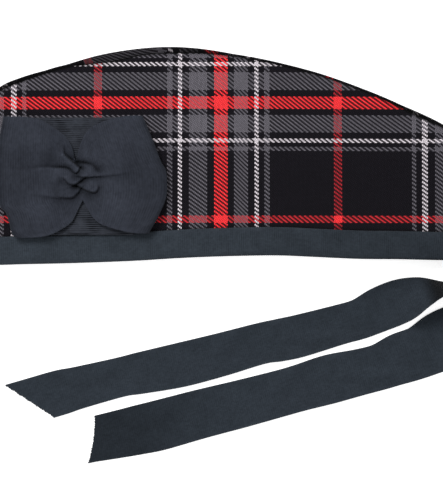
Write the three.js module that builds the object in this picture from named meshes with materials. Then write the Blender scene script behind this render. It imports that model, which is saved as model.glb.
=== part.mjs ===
// A Highland cap in tartan cloth, lying on its right side with its crown folded in and its
// two ribbon tails laid out below it. The left side, with its ribbon bow, is on top.
// Millimetres. X runs from the front of the cap to its back, Y from the band to the crest,
// and Z up from the surface that the cap lies on.

import * as THREE from "three";

// Driving dimensions of the folded cap.
const CAP_LENGTH = 288;
const CAP_HEIGHT = 127.2;
const MOUTH_DEPTH = 34; // across the two sides, at the middle of the mouth
const CREST_DEPTH = 14; // the same at the crest
const SIDE_BELLY = 3; // how far the sides swell halfway up
const VALLEY_DEPTH = 36; // how deep the crown insert is folded in
const SHALLOWEST_VALLEY = 0.4; // the same at the ends of the crest
const END_FULLNESS = 1.2; // 1 is a full curve from end to end, and more is slimmer ends

// Cloth thicknesses, and the clearance that touching pieces keep.
const SIDE_CLOTH = 2.2;
const CROWN_CLOTH = 1.4;
const RIBBON_CLOTH = 1.0;
const CLEARANCE = 0.3;

// The ribbon band round the mouth.
const BAND_WIDTH = 17.5;
const BAND_TURN_IN = 8;
const BAND_FADE = 22; // how far above the band it takes cloth to come down off its thickness

// The rim of the crown insert that shows outside the crest.
const RIM_AT_ENDS = 3.1;
const RIM_AT_MIDDLE = 5;

// The two ribbon tails.
const TAIL_WIDTH = 26.5;
const TAIL_REACH = 261.4; // how far the longer one lies back along the cap from the band's end
const TAIL_STACK = 0.21 * TAIL_WIDTH; // one tail's height over the other where they leave the band
const TAIL_SINK = 0.11; // the share of a tail in which it comes down to the surface
const TAIL_CUT = 0.1; // the share of a tail over which its slanted end is cut
const LEFT_TAIL_SLANT = -1.05; // how far a corner of the end runs on, as a share of half the width
const RIGHT_TAIL_SLANT = 0.36;

// The bow and the ribbon patch behind it, on the left side near the front.
const BOW_SPAN = 105;
const BOW_HEIGHT = 73;
const BOW_FORWARD = 57; // the knot's distance from the front of the cap
const BOW_UP = 51.2; // the knot's height above the band's edge
const PATCH_WIDTH = 68;
const PATCH_HEIGHT = 71;
const LOBE_PUFF = 6.5; // how high a lobe of the bow stands over its back layer
const LOBE_FLARE = 3; // how soon a lobe's outer edge flares out from the knot
const LOBE_PARTING = 0.4; // half the gap between the lobes above and below the knot's middle
const LOBE_TURN = 0.98; // the share of a lobe's reach where it begins to turn back
const KNOT_WIDTH = 12;
const KNOT_HEIGHT = 21;
const KNOT_DEPTH = 9;
const KNOT_GRIP = 0.38; // the share of the knot's height that each pinched lobe takes

// What follows from them.
const BAND_PROUD = RIBBON_CLOTH + CLEARANCE;
const NOSE_RADIUS = SIDE_CLOTH + BAND_PROUD + CLEARANCE / 2;
const HEM_RADIUS = (SIDE_CLOTH + 2 * BAND_PROUD) / 2;
const ROLL_RADIUS = (SIDE_CLOTH + 1.4 * CLEARANCE + CROWN_CLOTH) / 2;
const FOLD_RADIUS = CLEARANCE;
const TAIL_ROOT = CAP_LENGTH / 2 + BAND_PROUD + CLEARANCE;
const KNOT_X = BOW_FORWARD - CAP_LENGTH / 2;
const PATCH_TOP = 2 * (CLEARANCE + RIBBON_CLOTH); // the patch's upper face over the side
const BOW_BED = PATCH_TOP + 2 * CLEARANCE; // the bow's back layer over the side

// Side view, as shares of the length and height: the crest, and how the band's edge sags and rises.
const PROFILE = [
  { along: 0.0125, crest: 0.764, edge: -0.024 },
  { along: 0.035, crest: 0.811, edge: -0.024 },
  { along: 0.077, crest: 0.859, edge: -0.021 },
  { along: 0.16, crest: 0.914, edge: -0.017 },
  { along: 0.244, crest: 0.969, edge: -0.009 },
  { along: 0.327, crest: 0.999, edge: 0 },
  { along: 0.39, crest: 1.007, edge: 0.008 },
  { along: 0.452, crest: 0.999, edge: 0.014 },
  { along: 0.535, crest: 0.971, edge: 0.02 },
  { along: 0.619, crest: 0.933, edge: 0.022 },
  { along: 0.702, crest: 0.882, edge: 0.015 },
  { along: 0.785, crest: 0.816, edge: 0.007 },
  { along: 0.869, crest: 0.741, edge: 0.004 },
  { along: 0.952, crest: 0.652, edge: 0 },
  { along: 0.985, crest: 0.607, edge: -0.002 },
];

// How far the front and back edges stand in from the ends of the cap, by height.
const FRONT_EDGE = [
  { up: -0.03, inset: 0.0063 },
  { up: 0.236, inset: 0.0015 },
  { up: 0.432, inset: 0 },
  { up: 0.613, inset: 0.0025 },
  { up: 0.764, inset: 0.0125 },
];
const BACK_EDGE = [
  { up: -0.03, inset: 0.0045 },
  { up: 0.197, inset: 0 },
  { up: 0.354, inset: 0 },
  { up: 0.487, inset: 0.004 },
  { up: 0.597, inset: 0.015 },
];

// The tails' centre lines: along as a share of their reach, from the band's back end, below as
// a share of the ribbon's width, from the band's edge line, the bank in degrees, and the width
// that shows as a share of the ribbon's.
const LEFT_TAIL = [
  { along: -0.003, below: -0.217, bank: 0, width: 1 },
  { along: 0.0204, below: -0.12, bank: 8, width: 1 },
  { along: 0.0424, below: -0.043, bank: 60, width: 1 },
  { along: 0.0579, below: 0.141, bank: 70, width: 1 },
  { along: 0.0623, below: 0.359, bank: 84, width: 1 },
  { along: 0.0512, below: 0.543, bank: 88, width: 1 },
  { along: 0.027, below: 0.63, bank: 86, width: 1 },
  { along: -0.0149, below: 0.619, bank: 80, width: 1 },
  { along: -0.0567, below: 0.63, bank: 69, width: 1 },
  { along: -0.103, below: 0.728, bank: 42, width: 1 },
  { along: -0.1482, below: 0.88, bank: 14, width: 1 },
  { along: -0.1945, below: 1.06, bank: 0, width: 1 },
  { along: -0.2408, below: 1.25, bank: 0, width: 0.94 },
  { along: -0.3322, below: 1.532, bank: 0, width: 0.92 },
  { along: -0.4237, below: 1.761, bank: 0, width: 0.92 },
  { along: -0.5163, below: 1.978, bank: 0, width: 0.94 },
  { along: -0.6077, below: 2.206, bank: 0, width: 0.98 },
  { along: -0.6992, below: 2.413, bank: 0, width: 0.95 },
  { along: -0.7906, below: 2.597, bank: 0, width: 0.88 },
  { along: -0.8832, below: 2.837, bank: 0, width: 0.92 },
  { along: -1, below: 3.119, bank: 0, width: 0.93 },
];
const RIGHT_TAIL = [
  { along: 0, below: -0.391, bank: 0, width: 1 },
  { along: 0.0259, below: -0.402, bank: 10, width: 1 },
  { along: 0.0567, below: -0.402, bank: 28, width: 1 },
  { along: 0.0843, below: -0.239, bank: 66, width: 1 },
  { along: 0.1008, below: 0.065, bank: 78, width: 1 },
  { along: 0.1008, below: 0.446, bank: 74, width: 1 },
  { along: 0.0766, below: 0.869, bank: 60, width: 1.05 },
  { along: 0.038, below: 1.195, bank: 38, width: 1.12 },
  { along: -0.0061, below: 1.489, bank: 14, width: 1.2 },
  { along: -0.0523, below: 1.739, bank: 0, width: 1.25 },
  { along: -0.103, below: 1.978, bank: 0, width: 1.2 },
  { along: -0.1482, below: 2.152, bank: 0, width: 1.09 },
  { along: -0.1945, below: 2.347, bank: 0, width: 1.02 },
  { along: -0.286, below: 2.587, bank: 0, width: 1.05 },
  { along: -0.3785, below: 2.847, bank: 0, width: 1.04 },
  { along: -0.47, below: 3.086, bank: 0, width: 1.05 },
  { along: -0.5614, below: 3.326, bank: 0, width: 1.08 },
  { along: -0.6529, below: 3.554, bank: 0, width: 1.1 },
  { along: -0.7455, below: 3.793, bank: 0, width: 1.08 },
  { along: -0.8556, below: 3.983, bank: 0, width: 1.03 },
];

// The four lobes of the bow: the far corners of each one's middle and outer edges, as shares
// of the bow's span and height from the knot. Side is 1 towards the back of the cap.
const LOBES = [
  { name: "back_upper", side: 1, middle: { out: 0.495, up: 0.015 }, outer: { out: 0.37, up: 0.5 } },
  { name: "back_lower", side: 1, middle: { out: 0.495, up: -0.005 }, outer: { out: 0.41, up: -0.48 } },
  { name: "front_upper", side: -1, middle: { out: 0.495, up: 0.015 }, outer: { out: 0.43, up: 0.5 } },
  { name: "front_lower", side: -1, middle: { out: 0.495, up: -0.005 }, outer: { out: 0.36, up: -0.49 } },
];

// How finely the faceted cloth is divided.
const NOSE_STEPS = 4;
const SIDE_COLUMNS = 20;
const SIDE_ROWS = 9;
const CROWN_STATIONS = 26;
const TAIL_STEPS = 3;
const ROLL_STEPS = 5;
const LEG_STEPS = 3;
const BAND_ROWS = 3;
const HEM_STEPS = 5;
const PATCH_ROWS = 8;
const PATCH_COLUMNS = 6;
const LOBE_STEPS = 6;
const LOBE_ROWS = 7;

const clamp = THREE.MathUtils.clamp;
const lerp = THREE.MathUtils.lerp;
const ease = (share) => THREE.MathUtils.smoothstep(share, 0, 1);

// A smooth function through one column of a table.
function tableCurve(rows, position, value) {
  const positions = rows.map((row) => row[position]);
  const values = rows.map((row) => row[value]);
  const curve = new THREE.CubicInterpolant(positions, values, 1);
  return (at) => curve.evaluate(at)[0];
}

const crestShare = tableCurve(PROFILE, "along", "crest");
const edgeShare = tableCurve(PROFILE, "along", "edge");
const frontInset = tableCurve(FRONT_EDGE, "up", "inset");
const backInset = tableCurve(BACK_EDGE, "up", "inset");

const crestAt = (x) => CAP_HEIGHT * crestShare(x / CAP_LENGTH + 0.5);
const edgeAt = (x) => CAP_HEIGHT * edgeShare(x / CAP_LENGTH + 0.5);
const frontAt = (y) => CAP_LENGTH * (frontInset(y / CAP_HEIGHT) - 0.5);
const backAt = (y) => CAP_LENGTH * (0.5 - backInset(y / CAP_HEIGHT));

const FIRST_ROW = PROFILE[0];
const LAST_ROW = PROFILE[PROFILE.length - 1];
const CREST_FRONT = CAP_LENGTH * (FIRST_ROW.along - 0.5);
const CREST_BACK = CAP_LENGTH * (LAST_ROW.along - 0.5);

// The width of the crown insert's rim outside the crest.
function rimAt(x) {
  const share = clamp((x - CREST_FRONT) / (CREST_BACK - CREST_FRONT), 0, 1);
  return lerp(RIM_AT_ENDS, RIM_AT_MIDDLE, Math.sin(Math.PI * share));
}

// Half the cap's thickness at a point of the side view, before the ends are rounded.
function halfDepth(x, y) {
  const share = clamp((x - frontAt(y)) / (backAt(y) - frontAt(y)), 0, 1);
  const up = clamp((y - edgeAt(x)) / (crestAt(x) - edgeAt(x)), 0, 1);
  const depth = lerp(MOUTH_DEPTH, CREST_DEPTH, ease(up)) + SIDE_BELLY * Math.sin(Math.PI * up);
  return NOSE_RADIUS + (depth / 2 - NOSE_RADIUS) * Math.sin(Math.PI * share) ** END_FULLNESS;
}

// The band lifts the sides off the surface by its own thickness, and they sink back above it.
function liftAt(x, y) {
  return BAND_PROUD * (1 - ease((y - edgeAt(x) - BAND_WIDTH) / BAND_FADE));
}

// The outer face of a side. Turn is 1 on the upper side and -1 on the lower one, and smaller
// where the side curls in towards the seam at either end.
function sideHeight(x, y, turn) {
  return liftAt(x, y) + halfDepth(x, y) * (1 + turn);
}

// The upper side's height anywhere in the side view, or the band's, for what is sewn on it.
function topAt(x, y) {
  const toEnd = Math.min(x - frontAt(y), backAt(y) - x);
  const left = 1 - clamp(toEnd / NOSE_RADIUS, 0, 1);
  return sideHeight(x, y, Math.sqrt(1 - left * left)) + liftAt(x, y);
}

// The columns of a side from front seam to back seam: the distance from the front as a share
// of the length, and which way its face looks, as it curls round from the seam: turn is the
// share towards the viewer and lean the share towards the back.
function sideColumns() {
  const first = Math.asin(CLEARANCE / 2 / NOSE_RADIUS);
  const nose = [];
  for (let step = 0; step < NOSE_STEPS; step++) {
    const angle = lerp(first, Math.PI / 2, step / NOSE_STEPS);
    const inset = (NOSE_RADIUS * (1 - Math.cos(angle))) / CAP_LENGTH;
    nose.push({ share: inset, turn: Math.sin(angle), lean: -Math.cos(angle) });
  }
  const start = NOSE_RADIUS / CAP_LENGTH;
  const columns = [...nose];
  for (let step = 0; step <= SIDE_COLUMNS; step++) {
    columns.push({ share: lerp(start, 1 - start, step / SIDE_COLUMNS), turn: 1, lean: 0 });
  }
  const mirrored = nose.map(({ share, turn, lean }) => ({ share: 1 - share, turn, lean: -lean }));
  return [...columns, ...mirrored.reverse()];
}

// The points that lie one cloth thickness behind a face, square to it.
function behindFace(face, thickness, looped = false) {
  const rows = face.length;
  const wrap = (row) => (row + rows) % rows;
  return face.map((points, row) =>
    points.map((point, column) => {
      const after = looped ? wrap(row + 1) : Math.min(row + 1, rows - 1);
      const before = looped ? wrap(row - 1) : Math.max(row - 1, 0);
      const right = points[Math.min(column + 1, points.length - 1)];
      const left = points[Math.max(column - 1, 0)];
      const along = face[after][column].clone().sub(face[before][column]);
      const outward = along.cross(right.clone().sub(left)).normalize();
      return point.clone().addScaledVector(outward, -thickness);
    }),
  );
}

// A closed sheet of cloth between two grids of points, its face and its back. The face is
// seen with its rows running to the right and its columns up. A looped sheet joins its last
// row to its first.
function clothSheet(face, back, looped = false) {
  const rows = face.length;
  const columns = face[0].length;
  const positions = [...face, ...back].flat().flatMap((point) => point.toArray());
  const index = [];
  const front = (row, column) => (row % rows) * columns + column;
  const behind = (row, column) => rows * columns + front(row, column);
  const quad = (a, b, c, d) => index.push(a, b, c, a, c, d);
  const spans = looped ? rows : rows - 1;
  for (let row = 0; row < spans; row++) {
    for (let column = 0; column < columns - 1; column++) {
      const next = column + 1;
      quad(front(row, column), front(row + 1, column), front(row + 1, next), front(row, next));
      quad(behind(row, column), behind(row, next), behind(row + 1, next), behind(row + 1, column));
    }
    const last = columns - 1;
    quad(front(row, 0), behind(row, 0), behind(row + 1, 0), front(row + 1, 0));
    quad(front(row, last), front(row + 1, last), behind(row + 1, last), behind(row, last));
  }
  const end = rows - 1;
  for (let column = 0; column < columns - 1 && !looped; column++) {
    quad(front(0, column), front(0, column + 1), behind(0, column + 1), behind(0, column));
    quad(front(end, column), behind(end, column), behind(end, column + 1), front(end, column + 1));
  }
  const geometry = new THREE.BufferGeometry();
  geometry.setAttribute("position", new THREE.Float32BufferAttribute(positions, 3));
  geometry.setIndex(index);
  geometry.computeVertexNormals();
  return geometry;
}

// A point of the side view, blended between the four edges of a side.
function sidePoint(u, v) {
  const foot = (share) => {
    const x = lerp(frontAt(0), backAt(0), share);
    return new THREE.Vector2(x, edgeAt(x) + HEM_RADIUS);
  };
  const top = (share) => {
    const x = lerp(CREST_FRONT, CREST_BACK, share);
    return new THREE.Vector2(x, crestAt(x) - rimAt(x));
  };
  const frontEdge = (share) => {
    const y = lerp(foot(0).y, top(0).y, share);
    return new THREE.Vector2(frontAt(y), y);
  };
  const backEdge = (share) => {
    const y = lerp(foot(1).y, top(1).y, share);
    return new THREE.Vector2(backAt(y), y);
  };
  const upDown = foot(u).lerp(top(u), v);
  const frontBack = frontEdge(v).lerp(backEdge(v), u);
  const lowCorners = frontEdge(0).lerp(backEdge(0), u);
  const highCorners = frontEdge(1).lerp(backEdge(1), u);
  return upDown.add(frontBack).sub(lowCorners.lerp(highCorners, v));
}

// One side of the cap, from the band to the crest seam. Facing is 1 for the upper side.
function sideGeometry(facing) {
  const gridAt = (depth) =>
    sideColumns().map(({ share, turn, lean }) => {
      const column = [];
      for (let step = 0; step <= SIDE_ROWS; step++) {
        const { x, y } = sidePoint(share, step / SIDE_ROWS);
        const height = sideHeight(x, y, facing * turn) - depth * facing * turn;
        column.push(new THREE.Vector3(x - depth * lean, y, height));
      }
      return facing > 0 ? column : column.reverse();
    });
  return clothSheet(gridAt(0), gridAt(SIDE_CLOTH));
}

// Half of the crown insert's section at one station, from its seam on the outer face, over
// the crest and down into the valley. Points are (y, z).
function crownHalfSection(x) {
  const crest = crestAt(x);
  const seam = crest - rimAt(x);
  const low = sideHeight(x, seam, -1);
  const high = sideHeight(x, seam, 1);
  const middle = (low + high) / 2;
  const room = (high - low) / 2 - 2 * ROLL_RADIUS - FOLD_RADIUS;
  const fullRoom = CREST_DEPTH / 2 - 2 * ROLL_RADIUS - FOLD_RADIUS;
  const depth = lerp(SHALLOWEST_VALLEY, VALLEY_DEPTH, ease(room / fullRoom));
  const roll = new THREE.Vector2(crest - ROLL_RADIUS, high - ROLL_RADIUS);
  const fold = new THREE.Vector2(crest - depth + FOLD_RADIUS, middle);
  const apart = fold.clone().sub(roll);
  const bearing = Math.atan2(apart.y, apart.x);
  const swing = Math.acos((ROLL_RADIUS + FOLD_RADIUS) / apart.length());
  const leave = (bearing > 0 ? bearing - 2 * Math.PI : bearing) + swing;
  const onArc = (centre, radius, angle) =>
    new THREE.Vector2(centre.x + radius * Math.cos(angle), centre.y + radius * Math.sin(angle));
  const points = [new THREE.Vector2(seam + CLEARANCE, high)];
  for (let step = 0; step <= ROLL_STEPS; step++) {
    points.push(onArc(roll, ROLL_RADIUS, lerp(Math.PI / 2, leave, step / ROLL_STEPS)));
  }
  const legStart = points[points.length - 1];
  const legEnd = onArc(fold, FOLD_RADIUS, leave + Math.PI);
  for (let step = 1; step <= LEG_STEPS; step++) {
    points.push(legStart.clone().lerp(legEnd, step / LEG_STEPS));
  }
  points.push(onArc(fold, FOLD_RADIUS, leave / 2 + Math.PI));
  return { points, middle, bottom: onArc(fold, FOLD_RADIUS, Math.PI) };
}

// The crown insert: it rolls over the crest of each side and folds in between them.
function crownGeometry() {
  const start = CREST_FRONT + NOSE_RADIUS;
  const end = CREST_BACK - NOSE_RADIUS;
  const face = [];
  for (let station = 0; station <= CROWN_STATIONS; station++) {
    const x = lerp(start, end, station / CROWN_STATIONS);
    const { points, middle, bottom } = crownHalfSection(x);
    const mirrored = points.map((p) => new THREE.Vector2(p.x, 2 * middle - p.y)).reverse();
    const section = [...points, bottom, ...mirrored];
    face.push(section.map((p) => new THREE.Vector3(x, p.x, p.y)));
  }
  return clothSheet(face, behindFace(face, CROWN_CLOTH));
}

// The ribbon band: a strip folded over the cap's edge all round the mouth.
function bandGeometry() {
  const turnIn = -SIDE_CLOTH - BAND_PROUD;
  const section = [];
  for (let step = 0; step <= BAND_ROWS; step++) {
    section.push({ out: BAND_PROUD, up: lerp(BAND_WIDTH, HEM_RADIUS, step / BAND_ROWS) });
  }
  for (let step = 1; step < HEM_STEPS; step++) {
    const angle = (Math.PI * step) / HEM_STEPS;
    const out = (turnIn + BAND_PROUD) / 2 + HEM_RADIUS * Math.cos(angle);
    section.push({ out, up: HEM_RADIUS * (1 - Math.sin(angle)) });
  }
  section.push({ out: turnIn, up: HEM_RADIUS });
  section.push({ out: turnIn, up: BAND_TURN_IN });
  const upper = sideColumns();
  const lower = sideColumns()
    .map(({ share, turn, lean }) => ({ share, turn: -turn, lean }))
    .reverse();
  const face = [...upper, ...lower].map(({ share, turn, lean }) =>
    section.map(({ out, up }) => {
      const edge = lerp(frontAt(up), backAt(up), share);
      const y = edgeAt(edge) + up;
      return new THREE.Vector3(edge + out * lean, y, sideHeight(edge, y, turn) + out * turn);
    }),
  );
  const facing = face.map((row) => row.reverse());
  return clothSheet(facing, behindFace(facing, RIBBON_CLOTH, true), true);
}

// A ribbon tail along a centre line. It stands on its lower edge where it banks, and its free
// end is cut with the given slant.
function tailGeometry(route, rise, slant) {
  const knots = route.map((row) => new THREE.Vector3(row.along, row.below, row.bank));
  const curve = new THREE.CatmullRomCurve3(knots, false, "catmullrom", 0.5);
  const widths = new THREE.CubicInterpolant(
    route.map((row, index) => index),
    route.map((row) => row.width),
    1,
  );
  const steps = (route.length - 1) * TAIL_STEPS;
  const places = [];
  for (let step = 0; step <= steps; step++) {
    const { x, y, z } = curve.getPoint(step / steps);
    const bank = THREE.MathUtils.degToRad(Math.max(z, 0));
    const half = (TAIL_WIDTH / 2) * widths.evaluate(step / TAIL_STEPS)[0];
    const sunk = rise * (1 - ease(step / steps / TAIL_SINK));
    const height = RIBBON_CLOTH + Math.max(sunk, half * Math.sin(bank));
    const centre = new THREE.Vector3(TAIL_ROOT + x * TAIL_REACH, -y * TAIL_WIDTH, height);
    places.push({ centre, bank, half });
  }
  const face = places.map(({ centre, bank, half }, step) => {
    const before = places[Math.max(step - 1, 0)].centre;
    const after = places[Math.min(step + 1, steps)].centre;
    const heading = after.clone().sub(before).setZ(0).normalize();
    const left = new THREE.Vector3(-heading.y, heading.x, 0);
    const across = left.multiplyScalar(Math.cos(bank)).setZ(Math.sin(bank));
    const skew = slant * ease((step / steps + TAIL_CUT - 1) / TAIL_CUT);
    return [-1, 0, 1].map((share) =>
      centre
        .clone()
        .addScaledVector(across, share * half)
        .addScaledVector(heading, share * skew * half),
    );
  });
  return clothSheet(face, behindFace(face, RIBBON_CLOTH));
}

// The ribbed patch: a flat loop of ribbon, folded at its top and bottom.
function patchGeometry() {
  const fold = (PATCH_TOP - CLEARANCE) / 2;
  const rowUp = (step) => (PATCH_HEIGHT - 2 * fold) * (step / PATCH_ROWS - 0.5);
  const section = [];
  for (let step = 0; step <= PATCH_ROWS; step++) {
    section.push({ up: rowUp(step), over: PATCH_TOP });
  }
  section.push({ up: PATCH_HEIGHT / 2, over: CLEARANCE + fold });
  for (let step = PATCH_ROWS; step >= 0; step--) {
    section.push({ up: rowUp(step), over: CLEARANCE });
  }
  section.push({ up: -PATCH_HEIGHT / 2, over: CLEARANCE + fold });
  const face = section.map(({ up, over }) => {
    const row = [];
    for (let step = PATCH_COLUMNS; step >= 0; step--) {
      const x = KNOT_X + PATCH_WIDTH * (step / PATCH_COLUMNS - 0.5);
      const y = BOW_UP + up;
      row.push(new THREE.Vector3(x, y, topAt(x, y) + over));
    }
    return row;
  });
  return clothSheet(face, behindFace(face, RIBBON_CLOTH, true), true);
}

// A point of a lobe in the side view. Out runs from the knot to the lobe's end, and across
// from the lobe's middle edge to its outer one.
function lobePoint({ side, middle, outer }, out, across) {
  const pinched = Math.sign(outer.up) * (LOBE_PARTING + across * KNOT_GRIP * KNOT_HEIGHT);
  const spread = 1 - (1 - out) ** (1 + LOBE_FLARE * across);
  const end = lerp(middle.up, outer.up, across) * BOW_HEIGHT;
  const reach = lerp(middle.out, outer.out, ease(across)) * BOW_SPAN;
  const inner = KNOT_WIDTH / 2 + CLEARANCE;
  return { x: KNOT_X + side * lerp(inner, reach, out), y: BOW_UP + lerp(pinched, end, spread) };
}

// One lobe of the bow: a loop of ribbon that leaves the knot, folds at its outer end and
// comes back under itself.
function lobeGeometry(lobe) {
  const path = [];
  for (let step = 0; step <= LOBE_STEPS; step++) {
    path.push({ out: (LOBE_TURN * step) / LOBE_STEPS, over: 1 });
  }
  path.push({ out: 1, over: 0.5 });
  for (let step = LOBE_STEPS; step >= 0; step--) {
    path.push({ out: (LOBE_TURN * step) / LOBE_STEPS, over: 0 });
  }
  const face = path.map(({ out, over }) => {
    const row = [];
    for (let step = 0; step <= LOBE_ROWS; step++) {
      const across = step / LOBE_ROWS;
      const { x, y } = lobePoint(lobe, out, across);
      const swell = Math.sin(Math.PI * lerp(0.12, 0.92, out)) * lerp(0.55, 1, Math.sin(Math.PI * across));
      const height = BOW_BED + over * (2 * RIBBON_CLOTH + CLEARANCE + LOBE_PUFF * swell);
      row.push(new THREE.Vector3(x, y, topAt(x, y) + height));
    }
    return lobe.side * lobe.outer.up > 0 ? row : row.reverse();
  });
  return clothSheet(face, behindFace(face, RIBBON_CLOTH));
}

// The knot that gathers the bow.
function knotGeometry() {
  const geometry = new THREE.SphereGeometry(1, 16, 10);
  geometry.scale(KNOT_WIDTH / 2, KNOT_HEIGHT / 2, KNOT_DEPTH / 2);
  geometry.translate(KNOT_X, BOW_UP, topAt(KNOT_X, BOW_UP) + PATCH_TOP + 2 * CLEARANCE + KNOT_DEPTH / 2);
  return geometry;
}

const tartan = new THREE.MeshStandardMaterial({ color: 0x3a2f33, roughness: 0.9, metalness: 0 });
const ribbon = new THREE.MeshStandardMaterial({ color: 0x343a42, roughness: 0.65, metalness: 0 });

function piece(name, geometry, material) {
  const mesh = new THREE.Mesh(geometry, material);
  mesh.name = name;
  return mesh;
}

const cap = new THREE.Group();
cap.add(piece("side_left", sideGeometry(1), tartan));
cap.add(piece("side_right", sideGeometry(-1), tartan));
cap.add(piece("crown_insert", crownGeometry(), tartan));
cap.add(piece("band", bandGeometry(), ribbon));
cap.add(piece("tail_left", tailGeometry(LEFT_TAIL, NOSE_RADIUS + TAIL_STACK, LEFT_TAIL_SLANT), ribbon));
cap.add(piece("tail_right", tailGeometry(RIGHT_TAIL, NOSE_RADIUS, RIGHT_TAIL_SLANT), ribbon));
cap.add(piece("bow_patch", patchGeometry(), ribbon));
for (const lobe of LOBES) {
  cap.add(piece(`bow_${lobe.name}`, lobeGeometry(lobe), ribbon));
}
cap.add(piece("bow_knot", knotGeometry(), ribbon));

// The origin is in the middle of everything, on the surface that it lies on.
const spread = new THREE.Box3().setFromObject(cap).getCenter(new THREE.Vector3());
cap.position.set(-spread.x, -spread.y, 0);

export default cap;
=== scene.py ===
"""A Highland cap in tartan cloth with a ribbon bow and two ribbon tails, lying on its right side.

Places on the cap are worked out in millimetres in the cap's own plan: x from its front to its
back, y from the band up to the crest, both from the middle of the band's edge, and z up from
the surface. They become metres in the shared frame when a piece's mesh is made.
"""

import math

import bpy
import numpy as np
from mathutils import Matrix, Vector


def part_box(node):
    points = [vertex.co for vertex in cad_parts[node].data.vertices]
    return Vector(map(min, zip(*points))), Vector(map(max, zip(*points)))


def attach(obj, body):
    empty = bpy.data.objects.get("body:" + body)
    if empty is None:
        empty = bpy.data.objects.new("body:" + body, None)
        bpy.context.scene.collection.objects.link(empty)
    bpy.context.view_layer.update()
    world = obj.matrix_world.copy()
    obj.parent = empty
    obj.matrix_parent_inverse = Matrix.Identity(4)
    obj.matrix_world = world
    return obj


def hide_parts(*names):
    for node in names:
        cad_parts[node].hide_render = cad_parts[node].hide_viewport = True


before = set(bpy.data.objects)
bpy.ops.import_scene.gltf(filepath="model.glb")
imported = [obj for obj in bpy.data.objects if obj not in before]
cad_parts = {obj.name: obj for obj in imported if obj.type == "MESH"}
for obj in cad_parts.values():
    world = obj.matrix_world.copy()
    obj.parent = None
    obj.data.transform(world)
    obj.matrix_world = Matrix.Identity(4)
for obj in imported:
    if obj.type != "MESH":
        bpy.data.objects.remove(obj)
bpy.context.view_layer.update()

MM = 0.001

# The folded cap, as it was cut and sewn.
CAP_LENGTH = 288
CAP_HEIGHT = 127.2
MOUTH_DEPTH = 34
CREST_DEPTH = 14
SIDE_BELLY = 3
VALLEY_DEPTH = 36
SHALLOWEST_VALLEY = 0.4
END_FULLNESS = 1.2

SIDE_CLOTH = 2.2
CROWN_CLOTH = 1.4
CLEARANCE = 0.3
RESTING = 0.02  # how low cloth lies on the surface
BAND_RESTING = 0.06  # and the band, whose ribs reach lower
TAIL_RESTING = 0.15  # and the back of a tail
RIBBON_SPACE = 1.0  # the depth that a layer of ribbon takes up
RIBBON_CLOTH = 0.6  # the ribbon itself, between its ribs

BAND_WIDTH = 17.0
BAND_TURN_IN = 8
BAND_FADE = 22  # how far above the band its thickness still lifts the sides

RIM_MOST = 5.8
RIM_CUT = 4.6  # how far the insert's tartan stands from the sides', at the seam
RIM_LEAN = 0.4  # and how much further for each millimetre outwards
RIM_UP = 11.5  # where its striped stretch lies in the weft, up from the thick red stripe
RIM_STRIPED = (-78, -50)  # from where to where along the cap that is
RIM_FADE = (8, 26)  # and over how much more of it the stripes fade at either end
RIM_UP_ELSEWHERE = 3.8  # and where the rest of it lies, which is black

TAIL_WIDTH = 26.5
TAIL_REACH = 261.4  # how far the longer tail runs forwards from the band's back end
TAIL_STACK = 0.21 * TAIL_WIDTH  # how far the upper tail's root lies above the lower one's
TAIL_SINK = 0.11  # the share of a tail in which it comes down to the surface
LEFT_TAIL_SLANT = -0.86  # how far each cut runs on for each millimetre across the ribbon
RIGHT_TAIL_SLANT = 0.35

BOW_SPAN = 105
BOW_HEIGHT = 73
BOW_FORWARD = 57
BOW_UP = 51.2
BOW_PUFF = 6
KNOT_SWELL = 2.6
PATCH_WIDTH = 68
PATCH_HEIGHT = 70.4
PATCH_UP = 51.6

# The ribs woven across every ribbon, and the yarns that run along it.
RIB_PITCH = 1.3
RIB_STEPS = 4  # mesh rows to a rib
RIB_SPACING = RIB_PITCH / RIB_STEPS
RIB_HEIGHT = 0.1
BOW_RIB_HEIGHT = 0.06
PATCH_RIB_HEIGHT = 0.3
YARNS_ACROSS = 96

# How fine the meshes are.
NOSE_STEPS = 10
SIDE_STEPS = 220
SIDE_ROWS = 84
CROWN_STATIONS = 161
BAND_STEPS = 400
TAIL_COLUMNS = 61
WING_COLUMNS = 97
WING_RIBS = 40
PATCH_COLUMNS = 33
ROUTE_STEPS = 4000

BAND_PROUD = RIBBON_SPACE + CLEARANCE
NOSE_RADIUS = SIDE_CLOTH + BAND_PROUD + CLEARANCE / 2
HEM_RADIUS = (SIDE_CLOTH + 2 * BAND_PROUD) / 2
ROLL_RADIUS = (SIDE_CLOTH + 1.4 * CLEARANCE + CROWN_CLOTH) / 2
FOLD_RADIUS = CLEARANCE
TAIL_ROOT = CAP_LENGTH / 2 + BAND_PROUD + CLEARANCE
KNOT_X = BOW_FORWARD - CAP_LENGTH / 2
PATCH_TOP = 2 * (CLEARANCE + RIBBON_SPACE)
BOW_BED = PATCH_TOP + 2 * CLEARANCE

# The tartan: the sett runs from the middle of a thick red stripe to the middle of a thin one
# and back. Its origin is where two thick red stripes cross.
WARP_THREAD = 0.8
WEFT_THREAD = 0.617
WARP_HALF_SETT = 72.6
WEFT_HALF_SETT = 70.0
SETT_Y = 95.8


def table(names, *rows):
    """A short table with named columns."""
    return dict(zip(names.split(), np.array(rows, float).T))


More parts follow.
